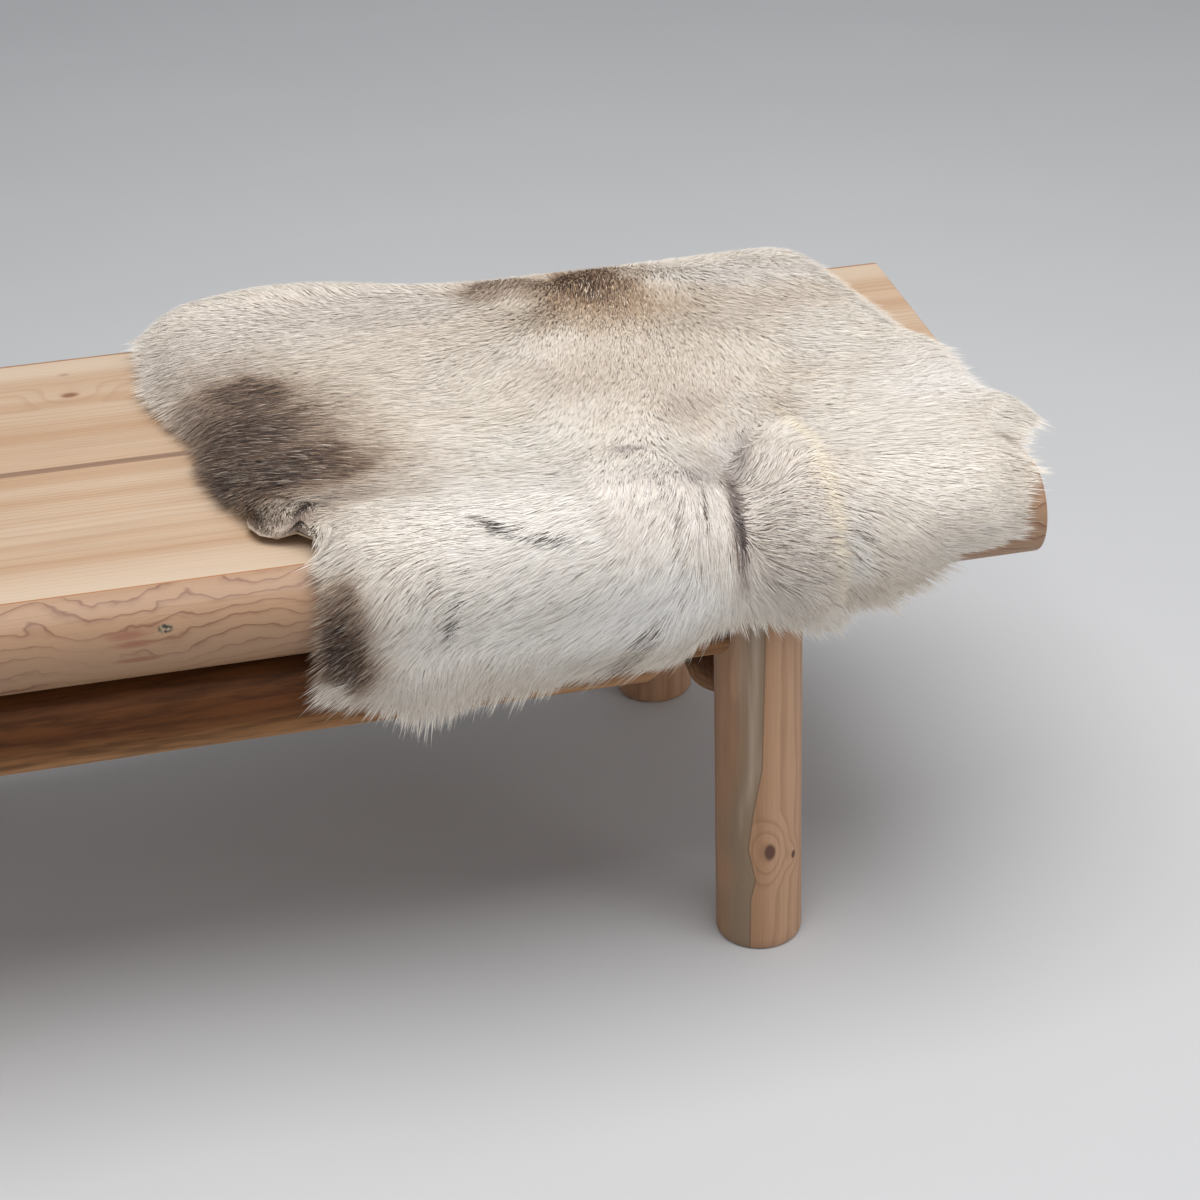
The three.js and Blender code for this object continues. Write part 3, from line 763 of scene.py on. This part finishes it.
def sheet_mesh(name, across, along, low, high):
    """A closed sheet over a flat grid, from one height to another."""
    rows, columns = across.shape[0] - 1, across.shape[1] - 1
    upper = lying(across, along, high).reshape(-1, 3)
    lower = lying(across, along, low).reshape(-1, 3)
    top = grid_faces(columns, rows)
    count = len(upper)
    index = np.arange(count).reshape(rows + 1, columns + 1)
    rim = np.concatenate([index[0, :-1], index[:-1, -1], index[-1, :0:-1], index[:0:-1, 0]])
    after = np.roll(rim, -1)
    wall = np.stack([rim, after, after + count, rim + count], 1)
    return mesh_of(name, np.concatenate([upper, lower]), np.concatenate([top, top[:, ::-1] + count, wall]))


skin_across, skin_along = flat_grid(SKIN_COLUMNS, SKIN_ROWS, HAIR_PAST_SKIN)
ragged = SKIN_RAGGED * smooth_step(edge_room(skin_across, skin_along), RIM_DEEP, HAIR_PAST_SKIN)
skin_across = skin_across + ragged * (value_noise(skin_across, skin_along, 17, 1) - 0.5)
skin_along = skin_along + ragged * (value_noise(skin_across, skin_along, 19, 2) - 0.5)
skin_across, skin_along = pushed_out(skin_across, skin_along)
skin_mesh = sheet_mesh("skin", skin_across, skin_along, 0.0, SKIN_THICK)

TANNED_PALE, TANNED_DARK = paint(208, 188, 164), paint(176, 150, 122)
TANNED_ROUGHNESS = 0.8
CLOUD_LUMPS, CLOUD_STOPS = 14, [(0.35, 0.0), (0.7, 1.0)]
NAP_LUMPS, NAP_STOPS = 900, [(0.2, 0.85), (0.7, 1.05)]
NAP_BUMP, NAP_DEPTH = 0.5, 0.0004
tanned, tree, shader = plain_material("tanned_skin", TANNED_ROUGHNESS)
spot = node(tree, "ShaderNodeTexCoord").outputs["Object"]
cloud = noise(tree, spot, CLOUD_LUMPS, 4).outputs["Fac"]
grain = noise(tree, spot, NAP_LUMPS, 2).outputs["Fac"]
tone = blend(tree, ramp(tree, cloud, CLOUD_STOPS), TANNED_PALE, TANNED_DARK)
tone = blend(tree, 1.0, tone, ramp(tree, grain, NAP_STOPS), "MULTIPLY")
tree.links.new(tone, shader.inputs["Base Color"])
nap = node(tree, "ShaderNodeBump", {"Height": grain, "Strength": NAP_BUMP, "Distance": NAP_DEPTH})
tree.links.new(nap.outputs[0], shader.inputs["Normal"])
skin = show("skin", skin_mesh, tanned, "hide", slot="skin")

# ---------------------------------------------------------------- markings and underfur
# A reindeer's coat is cream to pale grey, smoked with brown at the flanks and along the back. Below
# the outer hair stands a dense pad of woolly underfur, which is what fills the hide out.

UNDERFUR_SHARE = 0.84  # of the pile's depth
PAD_DARKER = 0.05
UNDERFUR_COLUMNS, UNDERFUR_ROWS = 116, 150
COAT_LIGHT, COAT_WARM = 0.86, 0.42  # 0 dark to 1 light, and 0 grey to 1 yellow-brown
MARKINGS = [  # across, along, half width, half length, lean, light, warm, faint ones first
    (-325, -74, 110, 70, 0.0, 0.82, 0.46),
    (-205, -128, 90, 54, 0.0, 0.80, 0.48),
    (-450, -150, 70, 60, 0.0, 0.76, 0.34),
    (-300, -185, 120, 46, 0.0, 0.74, 0.30),
    (-432, -100, 64, 30, 0.0, 0.66, 0.40),
    (-16, -73, 90, 66, 0.0, 0.76, 0.50),
    (-75, 3, 88, 62, 0.0, 0.72, 0.46),
    (-28, 75, 44, 52, 0.0, 0.70, 0.42),
    (94, -112, 90, 46, 0.0, 0.77, 0.46),
    (50, 112, 26, 22, 0.0, 0.79, 0.46),
    (-170, 128, 60, 34, 0.0, 0.92, 0.36),
    (110, -180, 80, 34, 0.0, 0.83, 0.28),
    (-50, -132, 84, 46, 0.0, 0.60, 0.74),  # tan round the brown at the back
    (-146, -206, 46, 30, 0.0, 0.48, 0.58),
    (-60, -190, 48, 54, 0.0, 0.20, 1.00),
    (-190, 235, 130, 70, 0.0, 0.90, 0.26),
    (-60, 225, 60, 50, 0.0, 0.84, 0.28),
    (-98, 232, 52, 32, 0.0, 0.79, 0.26),
    (-180, 306, 150, 34, 0.0, 0.96, 0.26),
    (-240, 372, 160, 16, 0.0, 0.84, 0.46),  # painted shade along the lower edge, where the hide turns under
    (-110, 304, 60, 26, 0.0, 0.98, 0.12),
    (140, 215, 84, 72, 0.0, 0.87, 0.34),  # white at the bench's end
    (205, 75, 60, 66, 0.0, 0.87, 0.30),
    (186, 118, 60, 44, 0.0, 0.90, 0.26),
    (87, 318, 64, 16, 0.0, 0.76, 0.48),
    (-388, 18, 84, 86, 0.0, 0.48, 0.56),  # smoked flank
    (-458, -14, 30, 52, 0.0, 0.46, 0.46),
    (-404, -44, 42, 32, 0.0, 0.14, 0.72),
    (-412, 30, 55, 48, 0.0, 0.06, 0.76),
    (-300, 172, 34, 26, 0.0, 0.74, 0.40),
    (-384, 112, 78, 50, -0.1, 0.00, 0.84),
    (-440, 92, 32, 38, 0.0, 0.00, 0.80),
    (-418, 176, 42, 24, -0.3, 0.57, 0.48),  # thin hair over the bare corner
    (-342, 172, 34, 22, 0.0, 0.54, 0.46),
    (-404, 198, 30, 7, -0.3, 0.40, 0.42),
    # painted shade: a dark spot in the hollow by the curled rim's arch
    (-381, 190, 8, 9, 0.0, 0.26, 0.40),
    # painted light: a paler ring on the curl's lit upper edge
    (-384, 168, 14, 6, 0.0, 0.76, 0.44),
    (16, 262, 42, 66, 0.0, 0.78, 0.32),  # grey fan beside the crease
    (-14, 176, 20, 36, -0.3, 0.74, 0.18),
    (-52, 212, 18, 13, 0.0, 0.66, 0.18),
    (-26, 250, 8, 44, -0.05, 0.22, 0.14),  # roots showing in the crease, and painted shade in it
    (-6, 190, 7, 30, -0.3, 0.50, 0.14),
    (54, 262, 5, 62, 0.02, 0.92, 0.86),  # yellowed ridge
    (50, 165, 8, 56, 0.15, 0.90, 0.74),
    (72, 276, 14, 32, 0.0, 0.88, 0.26),
    (223, 203, 11, 4, 0.0, 0.58, 0.40),
    (-97, 158, 18, 8, 0.0, 0.62, 0.16),
    (-364, 304, 28, 46, 0.1, 0.00, 0.84),  # dark lock at the corner
    (-384, 258, 9, 22, 0.0, 0.42, 0.40),
]
STRAY_HAIRS = [  # across, along, heading in degrees, half long, half wide, share of the hairs, light, warm
    (-234, 239, 21, 14, 3.4, 0.85, 0.02, 0.30),  # thin dark streaks
    (-194, 250, 10, 16, 2.4, 0.75, 0.06, 0.30),
    (-279, 288, 100, 12, 2.8, 0.85, 0.08, 0.30),
    (-292, 268, 120, 13, 2.6, 0.30, 0.36, 0.30),
    (-87, 222, 90, 12, 3, 0.50, 0.30, 0.20),
    (-53, 240, 104, 16, 2.2, 0.60, 0.24, 0.30),
    (-84, 254, 100, 20, 3, 0.35, 0.40, 0.20),
    (-120, 332, 135, 20, 9, 0.40, 0.30, 0.35),
    (-134, 358, 135, 18, 9, 0.60, 0.26, 0.50),
    (-366, 178, 0, 12, 9, 0.45, 0.20, 0.34),  # dark roots beside the bare corner
    (-412, 182, 60, 30, 22, 0.22, 0.24, 0.46),
    (-90, 225, 0, 40, 40, 0.05, 0.42, 0.20),  # scattered darker hairs
    (-320, 260, 0, 50, 40, 0.06, 0.45, 0.30),
    (-230, 300, 0, 90, 30, 0.05, 0.50, 0.30),
    (-120, 312, 150, 46, 16, 0.06, 0.55, 0.10),
    (20, 270, 90, 60, 40, 0.10, 0.40, 0.24),
    (76, 280, 90, 30, 20, 0.16, 0.40, 0.30),
    (-10, 200, 90, 50, 30, 0.10, 0.36, 0.20),
    (-384, 60, 90, 110, 90, 0.06, 0.66, 0.50),  # pale hairs over the smoked flank
    (-400, 120, 0, 60, 40, 0.05, 0.58, 0.50),
    (-364, 300, 90, 50, 34, 0.10, 0.66, 0.42),
    (-60, -180, 0, 60, 50, 0.10, 0.70, 0.60),
]


LIGHT_CLOUDS = [(0.06, 46, 5), (0.05, 13, 6)]  # strength, size, seed
WARM_CLOUD = (0.16, 60, 7)
FRAY, FRAY_SIZE = 18, 20  # how far a marking's border wanders, and over what length
FRAY_FULL = 40  # markings narrower than this wander less
MARK_EDGE = 1.5  # higher makes a marking's border sharper


def coat(across, along):
    """How light and how warm the coat is at flat places."""
    light = np.full(np.shape(across), COAT_LIGHT)
    warm = np.full(np.shape(across), COAT_WARM)
    for strength, size, seed in LIGHT_CLOUDS:
        light += strength * (value_noise(across, along, size, seed) - 0.5)
    strength, size, seed = WARM_CLOUD
    warm += strength * (value_noise(across, along, size, seed) - 0.5)
    stray = FRAY * (value_noise(across, along, FRAY_SIZE, 3) - 0.5)
    wander = FRAY * (value_noise(across, along, FRAY_SIZE, 4) - 0.5)
    for middle, at, wide, long, lean, mark_light, mark_warm in MARKINGS:
        loose = min(wide, long, FRAY_FULL) / FRAY_FULL
        by_along = (along + loose * wander - at) / long
        by_across = (across + loose * stray - middle - lean * (along - at)) / wide
        share = np.exp(-((by_along**2 + by_across**2) ** MARK_EDGE))
        light += share * (mark_light - light)
        warm += share * (mark_warm - warm)
    return light, warm


GREY_COAT = [
    (0.0, paint(44, 38, 37)), (0.25, paint(100, 90, 87)), (0.5, paint(158, 150, 146)),
    (0.75, paint(210, 205, 202)), (1.0, paint(247, 245, 243)),
]
WARM_COAT = [
    (0.0, paint(52, 34, 24)), (0.25, paint(118, 88, 64)), (0.5, paint(178, 146, 112)),
    (0.75, paint(224, 200, 166)), (1.0, paint(250, 240, 216)),
]


def coat_material(name, roughness, sheen):
    """Hair whose lightness and warmth come from the mesh's own two values."""
    material, tree, shader = plain_material(name, roughness)
    light = node(tree, "ShaderNodeAttribute", attribute_name="light").outputs["Fac"]
    warm = node(tree, "ShaderNodeAttribute", attribute_name="warm").outputs["Fac"]
    colour = blend(tree, warm, ramp(tree, light, GREY_COAT), ramp(tree, light, WARM_COAT))
    shader.inputs["Sheen Weight"].default_value = sheen
    shader.inputs["Sheen Roughness"].default_value = 0.5
    return material, tree, shader, colour


MAP_MARGIN = 0.002


def keep_values(mesh, light, warm, u=None, v=None):
    """Stores lightness and warmth on the mesh, and a map on which it lies by them or by u and v."""
    for name, values in (("light", light), ("warm", warm)):
        layer = mesh.attributes.new(name, "FLOAT", "POINT")
        layer.data.foreach_set("value", np.clip(values, 0, 1).astype(np.float32).ravel())
    u, v = (warm if u is None else u), (light if v is None else v)
    vertex = np.zeros(len(mesh.loops), np.int32)
    mesh.loops.foreach_get("vertex_index", vertex)
    places = np.clip(np.stack([u.ravel(), v.ravel()], 1), MAP_MARGIN, 1 - MAP_MARGIN)[vertex]
    mesh.uv_layers.new(name="OFBake").uv.foreach_set("vector", places.astype(np.float32).ravel())


PAD_LUMPS, PAD_LUMP_SIZE = 1.6, 9
PAD_BARE = 0.75  # how much of it is missing at the bare corner
PAD_LEAST = 0.4  # its depth at the rim
PAD_SHORE = (HAIR_PAST_SKIN - 2, HAIR_PAST_SKIN + 16)  # it rises to its full depth over this stretch


def pad_top(across, along):
    """Height of the underfur, which thins out at the rim and at the bare corner."""
    lumps = PAD_LUMPS * (value_noise(across, along, PAD_LUMP_SIZE, 8) - 0.5)
    depth = UNDERFUR_SHARE * pile_depth(across, along) + lumps
    depth *= 1 - PAD_BARE * bare(across, along)
    shore = smooth_step(rim_room(across, along), *PAD_SHORE)
    return SKIN_THICK + PAD_LEAST + shore * (depth - SKIN_THICK)


pad_across, pad_along = pushed_out(*flat_grid(UNDERFUR_COLUMNS, UNDERFUR_ROWS, HAIR_PAST_SKIN - 1))
pad_points = lying(pad_across, pad_along, pad_top(pad_across, pad_along)).reshape(-1, 3)
pad_mesh = mesh_of("underfur", pad_points, grid_faces(UNDERFUR_COLUMNS, UNDERFUR_ROWS))
pad_light, pad_warm = coat(pad_across, pad_along)
pad_u = (pad_across - pad_across.min()) / np.ptp(pad_across)
pad_v = (pad_along - pad_along.min()) / np.ptp(pad_along)
keep_values(pad_mesh, pad_light - PAD_DARKER, pad_warm, pad_u, pad_v)
WOOL_ROUGHNESS, WOOL_SHEEN = 0.95, 0.1
TUFT_LUMPS, TUFT_STOPS = 420, [(0.3, 0.72), (0.7, 1.05)]
FLUFF_BUMP, FLUFF_DEPTH = 0.8, 0.002
wool, tree, shader, colour = coat_material("underfur_wool", WOOL_ROUGHNESS, WOOL_SHEEN)
spot = node(tree, "ShaderNodeTexCoord").outputs["Object"]
tuft = noise(tree, spot, TUFT_LUMPS, 3, 0.7).outputs["Fac"]
colour = blend(tree, 1.0, colour, ramp(tree, tuft, TUFT_STOPS), "MULTIPLY")
tree.links.new(colour, shader.inputs["Base Color"])
fluff = node(tree, "ShaderNodeBump", {"Height": tuft, "Strength": FLUFF_BUMP, "Distance": FLUFF_DEPTH})
tree.links.new(fluff.outputs[0], shader.inputs["Normal"])
underfur = show("underfur", pad_mesh, wool, slot="pile")

# ---------------------------------------------------------------- outer hair
# Hollow guard hairs, 30 to 45 mm long, lie over one another along the coat's flow. They part in the
# crease over the leg, whirl at the back, and stand out past the skin in loose pointed locks.

FLOW = [  # across, along, heading in degrees (0 right, 90 to the front), reach
    (-439, -129, 163, 50), (-480, -209, 190, 50), (-474, -12, 141, 40), (-391, -50, 159, 45),
    (-394, 70, 183, 45), (-330, 108, 190, 40), (-450, 134, 136, 26), (-430, 158, 124, 20),
    (-414, 172, 100, 18), (-396, 184, 92, 18), (-376, 182, 92, 12), (-366, 214, 104, 14),
    (-251, -142, 164, 60), (-261, 49, 177, 60), (-179, -10, 129, 45),
    (-60, -181, 102, 35), (-134, -203, 115, 30), (-4, -164, 97, 35), (-97, -51, 104, 45),
    (-101, 55, 112, 45), (-18, 15, 101, 45), (44, -10, 90, 45), (103, -157, 63, 50),
    (115, -57, 42, 50), (128, 58, 35, 45), (205, 80, -20, 40), (219, 147, 14, 40),
    (206, 229, 11, 45), (158, 262, 9, 35), (107, 213, 16, 40), (87, 272, 23, 26),
    (69, 308, 58, 26), (121, 297, 38, 30), (66, 240, 15, 22), (58, 285, 32, 20),
    (-319, 218, 182, 45), (-240, 229, 181, 45), (-167, 237, 169, 40), (-116, 205, 111, 32),
    (-98, 256, 138, 30), (-58, 270, 94, 16), (-38, 301, 90, 14), (-52, 229, 80, 16),
    (-47, 169, 73, 20), (-77, 314, 116, 24), (-136, 304, 146, 32), (-138, 343, 150, 26),
    (-218, 277, 164, 40), (-222, 348, 115, 34), (-289, 347, 101, 34), (-317, 279, 143, 36),
    (-368, 274, 159, 30), (-370, 333, 142, 30), (-354, 243, 161, 30), (-21, 98, 86, 35),
    (-2, 145, 96, 20), (30, 168, -44, 14), (10, 214, -38, 15), (-4, 200, -50, 10),
    (-10, 250, 0, 14), (9, 271, 12, 18), (-12, 300, 52, 14), (-15, 326, 74, 16),
    (17, 329, 59, 20), (45, 263, 9, 20), (45, 205, -24, 20), (-30, 268, 90, 10),
    (-120, -290, -95, 60), (-60, -400, -90, 90), (-300, -300, -130, 70), (-440, -300, 200, 60),
    (180, -200, 18, 30), (205, -110, 18, 30), (225, -10, 14, 30), (160, -290, 10, 40),
    (-380, -430, -120, 80), (100, -300, -45, 60), (160, -330, -20, 60), (90, -460, -65, 70),
]
FLOW_CORE, FLOW_FALL = 6, 2.5  # how flat a heading's pull is near its place, and how fast it fades
REGIONS = [  # name, from and to along, hairs for each square millimetre, blade width
    ("hair_back_fall", -545, -238, 0.21, 1.7),
    ("hair_seat_back", -238, -95, 0.50, 0.95),
    ("hair_seat_middle", -95, 30, 0.52, 0.90),
    ("hair_seat_front", 30, 140, 0.58, 0.85),
    ("hair_roll", 140, 232, 0.68, 0.80),
    ("hair_front_fall", 232, 400, 0.72, 0.80),
]
GROWS_FROM, GROWS_TO = -505, 285  # across, past the hide's edges
RIM_FRAY, FRAY_LUMP = 3, 11  # how unevenly the outermost hairs are rooted
BARE_RIM = 1.2  # bare skin left along the rim at the bare corner

HAIR_RUN = 25  # how far a hair lies along the coat past the underfur
LOCK_RUN, OWN_RUN, RUN_LIMITS = 0.14, 0.12, (0.5, 1.6)  # how uneven that is, as a share of it
HEM, HEM_LONGER = (250, 330), 0.35  # hairs grow longer over this stretch of the front
WHIRL_RUN = 0.3  # how far a hair runs where the flow has no one direction
BARE_SHORTER, BARE_RUN, BARE_HOLD = 0.35, 0.16, 2.5  # how hairs stay within the bare corner's rim
LOCK_SIZE, LOCK_LENGTH = 3.2, 3.6  # locks of hair: their width, and how many times longer they are
LOCK_TABLE, LOCKS_NEAR = 512, range(-2, 3)
LOCK_TURN, HAIR_TURN = math.radians(5), math.radians(5)
TIP_TURN = 0.6  # of that turn, in a hair's second half
LOCK_CLOSE, CLOSE_SPREAD, CLOSE_MOST = 0.10, 0.1, 0.6  # how far a lock's tips draw together

ROOT_SHARE, MID_SHARE, TIP_SHARE = 0.79, 0.93, 0.97  # of the pile's depth
MID = 0.5
BARE_FLATTER, HEM_DROOP = 0.72, 0.3  # how much lower hairs lie at the corner, and past the edge
LOCK_TALL, OWN_TALL = 0.012, 0.014  # how uneven the tips' height is
LEAST_HEIGHT = 1.5
RIM_ROOT, RIM_ROOT_ROOM = 0.35, (-2, 14)  # roots sink to this share at the rim
OVER_PAD = (-0.2, 0.6, 0.8)  # root, middle and tip over the underfur at the bare corner
PAD_HOLD = 3  # how quickly that takes over towards the corner

TAPER = 0.8
BLADE_TILT = math.radians(14)
BLADE_SPREAD = (0.8, 1.2)
STRAND_TILT = 0.17  # how unevenly neighbouring hairs catch the light
NEIGHBOUR = 2  # distance to the places that a normal is worked out from

SEEN = 0.75  # how far along a hair the part lies that isn't covered by others
ROOT_DARKER, TIP_LIGHTER = 0.04, 0.01
HAIR_SPREAD, DARK_SPREAD, LOCK_SPREAD = 0.028, 0.20, 0.016  # of lightness, hair to hair and lock to lock
WARM_SPREAD, EDGE_WARM = 0.06, 0.008
HAIR_ROUGHNESS, HAIR_SHEEN, HAIR_GLEAM = 0.6, 0.15, 0.35


def heading_at(across, along):
    """Unit directions of the coat's flow at flat places, and how well it agrees there."""
    total = np.zeros((2,) + across.shape)
    whole = np.zeros(across.shape)
    for middle, at, degrees, reach in FLOW:
        away = (across - middle) ** 2 + (along - at) ** 2
        weight = (reach * reach / (away + reach * reach / FLOW_CORE)) ** FLOW_FALL
        total[0] += weight * math.cos(math.radians(degrees))
        total[1] += weight * math.sin(math.radians(degrees))
        whole += weight
    length = np.maximum(np.hypot(*total), 1e-9)
    return total / length, length / whole


def turned(direction, angle):
    c, s = np.cos(angle), np.sin(angle)
    return np.stack([c * direction[0] - s * direction[1], s * direction[0] + c * direction[1]])


def coat_normal(across, along, out):
    """Unit normals of the hide's outside at flat places, for a surface that follows the pile."""
    here = lying(across, along, out)
    swell = pile_depth(across, along)
    right, front = across + NEIGHBOUR, along + NEIGHBOUR
    beside = lying(right, along, out + pile_depth(right, along) - swell) - here
    below = lying(across, front, out + pile_depth(across, front) - swell) - here
    normal = np.cross(below, beside)
    return normal / np.linalg.norm(normal, axis=1, keepdims=True)


def locks(across, along, direction, seed):
    """For each hair, its lock's number and middle: the nearest of jittered seats along the flow."""
    rng = np.random.default_rng(seed)
    jitter = rng.random((2, LOCK_TABLE, LOCK_TABLE))
    u, v = across / LOCK_SIZE, along / LOCK_SIZE
    i, j = np.floor(u).astype(int), np.floor(v).astype(int)
    best = np.full(across.shape, np.inf)
    number = np.zeros(across.shape, int)
    middle = np.zeros((2,) + across.shape)
    for di in LOCKS_NEAR:
        for dj in LOCKS_NEAR:
            a, b = (i + di) % LOCK_TABLE, (j + dj) % LOCK_TABLE
            off_u = i + di + jitter[0, a, b] - u
            off_v = j + dj + jitter[1, a, b] - v
            down = (off_u * direction[0] + off_v * direction[1]) / LOCK_LENGTH
            side = off_v * direction[0] - off_u * direction[1]
            away = down * down + side * side
            nearer = away < best
            best = np.where(nearer, away, best)
            number = np.where(nearer, a * LOCK_TABLE + b, number)
            middle[0] = np.where(nearer, (off_u + u) * LOCK_SIZE, middle[0])
            middle[1] = np.where(nearer, (off_v + v) * LOCK_SIZE, middle[1])
    return number, middle


def hair_roots(rng, start, end, density):
    """Flat places where hairs are rooted, how thin the coat is there, and how far in from the rim."""
    gap = 1 / math.sqrt(density)
    across, along = np.meshgrid(np.arange(GROWS_FROM, GROWS_TO, gap), np.arange(start, end, gap))
    across, along = across.ravel(), along.ravel()
    across = across + rng.uniform(-0.5, 0.5, across.shape) * gap
    along = np.clip(along + rng.uniform(-0.5, 0.5, across.shape) * gap, start, end)
    thin = bare(across, along)
    room = edge_room(*held_back(across, along)) - HAIR_PAST_SKIN
    fray = RIM_FRAY * (1 - thin) * (value_noise(across, along, FRAY_LUMP, 9) - 0.5)
    grows = room > BARE_RIM * thin + fray
    return (across[grows], along[grows]), thin[grows], room[grows]


def hair_course(rng, root, thin, room):
    """Flat places of the hairs' middles and tips, and four random values that each lock shares."""
    across, along = root
    count = len(across)
    flow, agreed = heading_at(across, along)
    lock, lock_middle = locks(across, along, flow, 21)
    own = np.random.default_rng(22).normal(size=(4, LOCK_TABLE * LOCK_TABLE))[:, lock]
    bend = LOCK_TURN * own[0] + HAIR_TURN * rng.normal(size=count)
    run = HAIR_RUN * np.clip(1 + LOCK_RUN * own[1] + OWN_RUN * rng.normal(size=count), *RUN_LIMITS)
    longer = 1 + HEM_LONGER * smooth_step(along, *HEM)
    run *= longer * (WHIRL_RUN + (1 - WHIRL_RUN) * agreed**3) * (1 - BARE_SHORTER * thin)
    within = np.clip((room - 1) / run, BARE_RUN, 1)
    run *= 1 - (1 - within) * np.minimum(BARE_HOLD * thin, 1)
    first = turned(flow, bend)
    mid = (across + MID * run * first[0], along + MID * run * first[1])
    second = turned(heading_at(*mid)[0], bend * TIP_TURN)
    tip_across = mid[0] + (1 - MID) * run * second[0]
    tip_along = mid[1] + (1 - MID) * run * second[1]
    close = np.clip(LOCK_CLOSE + CLOSE_SPREAD * own[2], 0, CLOSE_MOST)
    side = (lock_middle[1] - along) * first[0] - (lock_middle[0] - across) * first[1]
    return mid, (tip_across - close * side * first[1], tip_along + close * side * first[0]), own


def hair_heights(rng, root, mid, tip, thin, room, own):
    """Heights of roots, middles and tips: flatter where the coat thins out, drooping past the edge."""
    low = 1 - BARE_FLATTER * thin
    droop = HEM_DROOP + (1 - HEM_DROOP) * smooth_step(rim_room(*tip), -RIM_LEAD, RIM_WIDTH / 3)
    tall = TIP_SHARE + LOCK_TALL * own[3] + OWN_TALL * rng.normal(size=len(thin))
    tip_height = np.maximum(low * droop * tall * pile_depth(*tip), LEAST_HEIGHT)
    root_height = low * ROOT_SHARE * pile_depth(*root)
    root_height *= RIM_ROOT + (1 - RIM_ROOT) * smooth_step(room, *RIM_ROOT_ROOM)
    rise = (MID_SHARE - ROOT_SHARE) / (TIP_SHARE - ROOT_SHARE)
    mid_height = np.maximum(root_height + rise * (tip_height - root_height), LEAST_HEIGHT)
    # At the bare corner they lie right on the underfur.
    short = np.minimum(PAD_HOLD * thin, 1)
    heights = (root_height, mid_height, tip_height)
    return [
        np.maximum(height, short * (pad_top(*place) + over))
        for height, place, over in zip(heights, (root, mid, tip), OVER_PAD)
    ]


def blades(name, rng, stops, blade):
    """A mesh of thin pointed blades of three triangles each, shaded as part of the smooth coat."""
    count = len(stops[0][0])
    path = [lying(*stop) for stop in stops]
    outward = [coat_normal(*stop) for stop in stops]
    tilt = rng.uniform(-BLADE_TILT, BLADE_TILT, count)[:, None]
    width = (blade * MM * rng.uniform(*BLADE_SPREAD, count))[:, None]
    ribs = []
    for step, share in ((0, 1.0), (1, TAPER)):
        flat_side = np.cross(path[step + 1] - path[step], outward[step])
        flat_side /= np.linalg.norm(flat_side, axis=1, keepdims=True)
        rib = np.cos(tilt) * flat_side + np.sin(tilt) * outward[step]
        ribs.append(rib * width * share / 2)
    points = np.stack(
        [path[0] - ribs[0], path[0] + ribs[0], path[1] - ribs[1], path[1] + ribs[1], path[2]], 1
    ).reshape(-1, 3)
    start_of = np.arange(count)[:, None, None] * 5
    faces = (start_of + np.array([[0, 1, 3], [0, 3, 2], [2, 3, 4]])).reshape(-1, 3)
    mesh = mesh_of(name, points, faces)
    catch = STRAND_TILT * rng.normal(size=count)[:, None] * ribs[0]
    catch /= np.linalg.norm(ribs[0], axis=1, keepdims=True)
    shading = np.stack([outward[0], outward[0], outward[1], outward[1], outward[2]], 1) + catch[:, None]
    shading /= np.linalg.norm(shading, axis=2, keepdims=True)
    mesh.normals_split_custom_set_from_vertices(shading.reshape(-1, 3))
    return mesh


def hair_colours(rng, mid, tip, own):
    """How light and how warm each hair is, by the coat where it shows, stray hairs and chance."""
    seen = (SEEN - MID) / (1 - MID)
    across = mid[0] + seen * (tip[0] - mid[0])
    along = mid[1] + seen * (tip[1] - mid[1])
    light, warm = coat(across, along)
    count = len(light)
    for middle, at, degrees, long, wide, share, stray_light, stray_warm in STRAY_HAIRS:
        c, s = math.cos(math.radians(degrees)), math.sin(math.radians(degrees))
        ahead = (c * (across - middle) + s * (along - at)) / long
        aside = (c * (along - at) - s * (across - middle)) / wide
        struck = rng.random(count) < share * np.exp(-ahead**2 - aside**2)
        light = np.where(struck, stray_light, light)
        warm = np.where(struck, stray_warm, warm)
    spread = HAIR_SPREAD + DARK_SPREAD * np.clip(COAT_LIGHT - light, 0, 1)
    light = light + spread * rng.normal(size=count) + LOCK_SPREAD * own[3]
    warm = warm + WARM_SPREAD * rng.normal(size=count)
    return light, warm


def grow(name, start, end, density, blade, seed):
    """One region's hairs, each from its root over its middle to its tip."""
    rng = np.random.default_rng(seed)
    root, thin, room = hair_roots(rng, start, end, density)
    mid, tip, own = hair_course(rng, root, thin, room)
    heights = hair_heights(rng, root, mid, tip, thin, room, own)
    stops = [(*place, height) for place, height in zip((root, mid, tip), heights)]
    mesh = blades(name, rng, stops, blade)
    light, warm = hair_colours(rng, mid, tip, own)
    # The five corners of a blade: two at the root, two at the middle and the tip.
    levels = np.array([-ROOT_DARKER, -ROOT_DARKER, 0, 0, TIP_LIGHTER])
    sway = np.array([-EDGE_WARM, EDGE_WARM, -EDGE_WARM, EDGE_WARM, 0])
    keep_values(mesh, light[:, None] + levels, warm[:, None] + sway)
    return mesh


hair_material, tree, shader, colour = coat_material("guard_hair", HAIR_ROUGHNESS, HAIR_SHEEN)
shader.inputs["Specular IOR Level"].default_value = HAIR_GLEAM
tree.links.new(colour, shader.inputs["Base Color"])
for seed, (name, start, end, density, blade) in enumerate(REGIONS, 31):
    show(name, grow(name, start, end, density, blade, seed), hair_material, slot="pile")
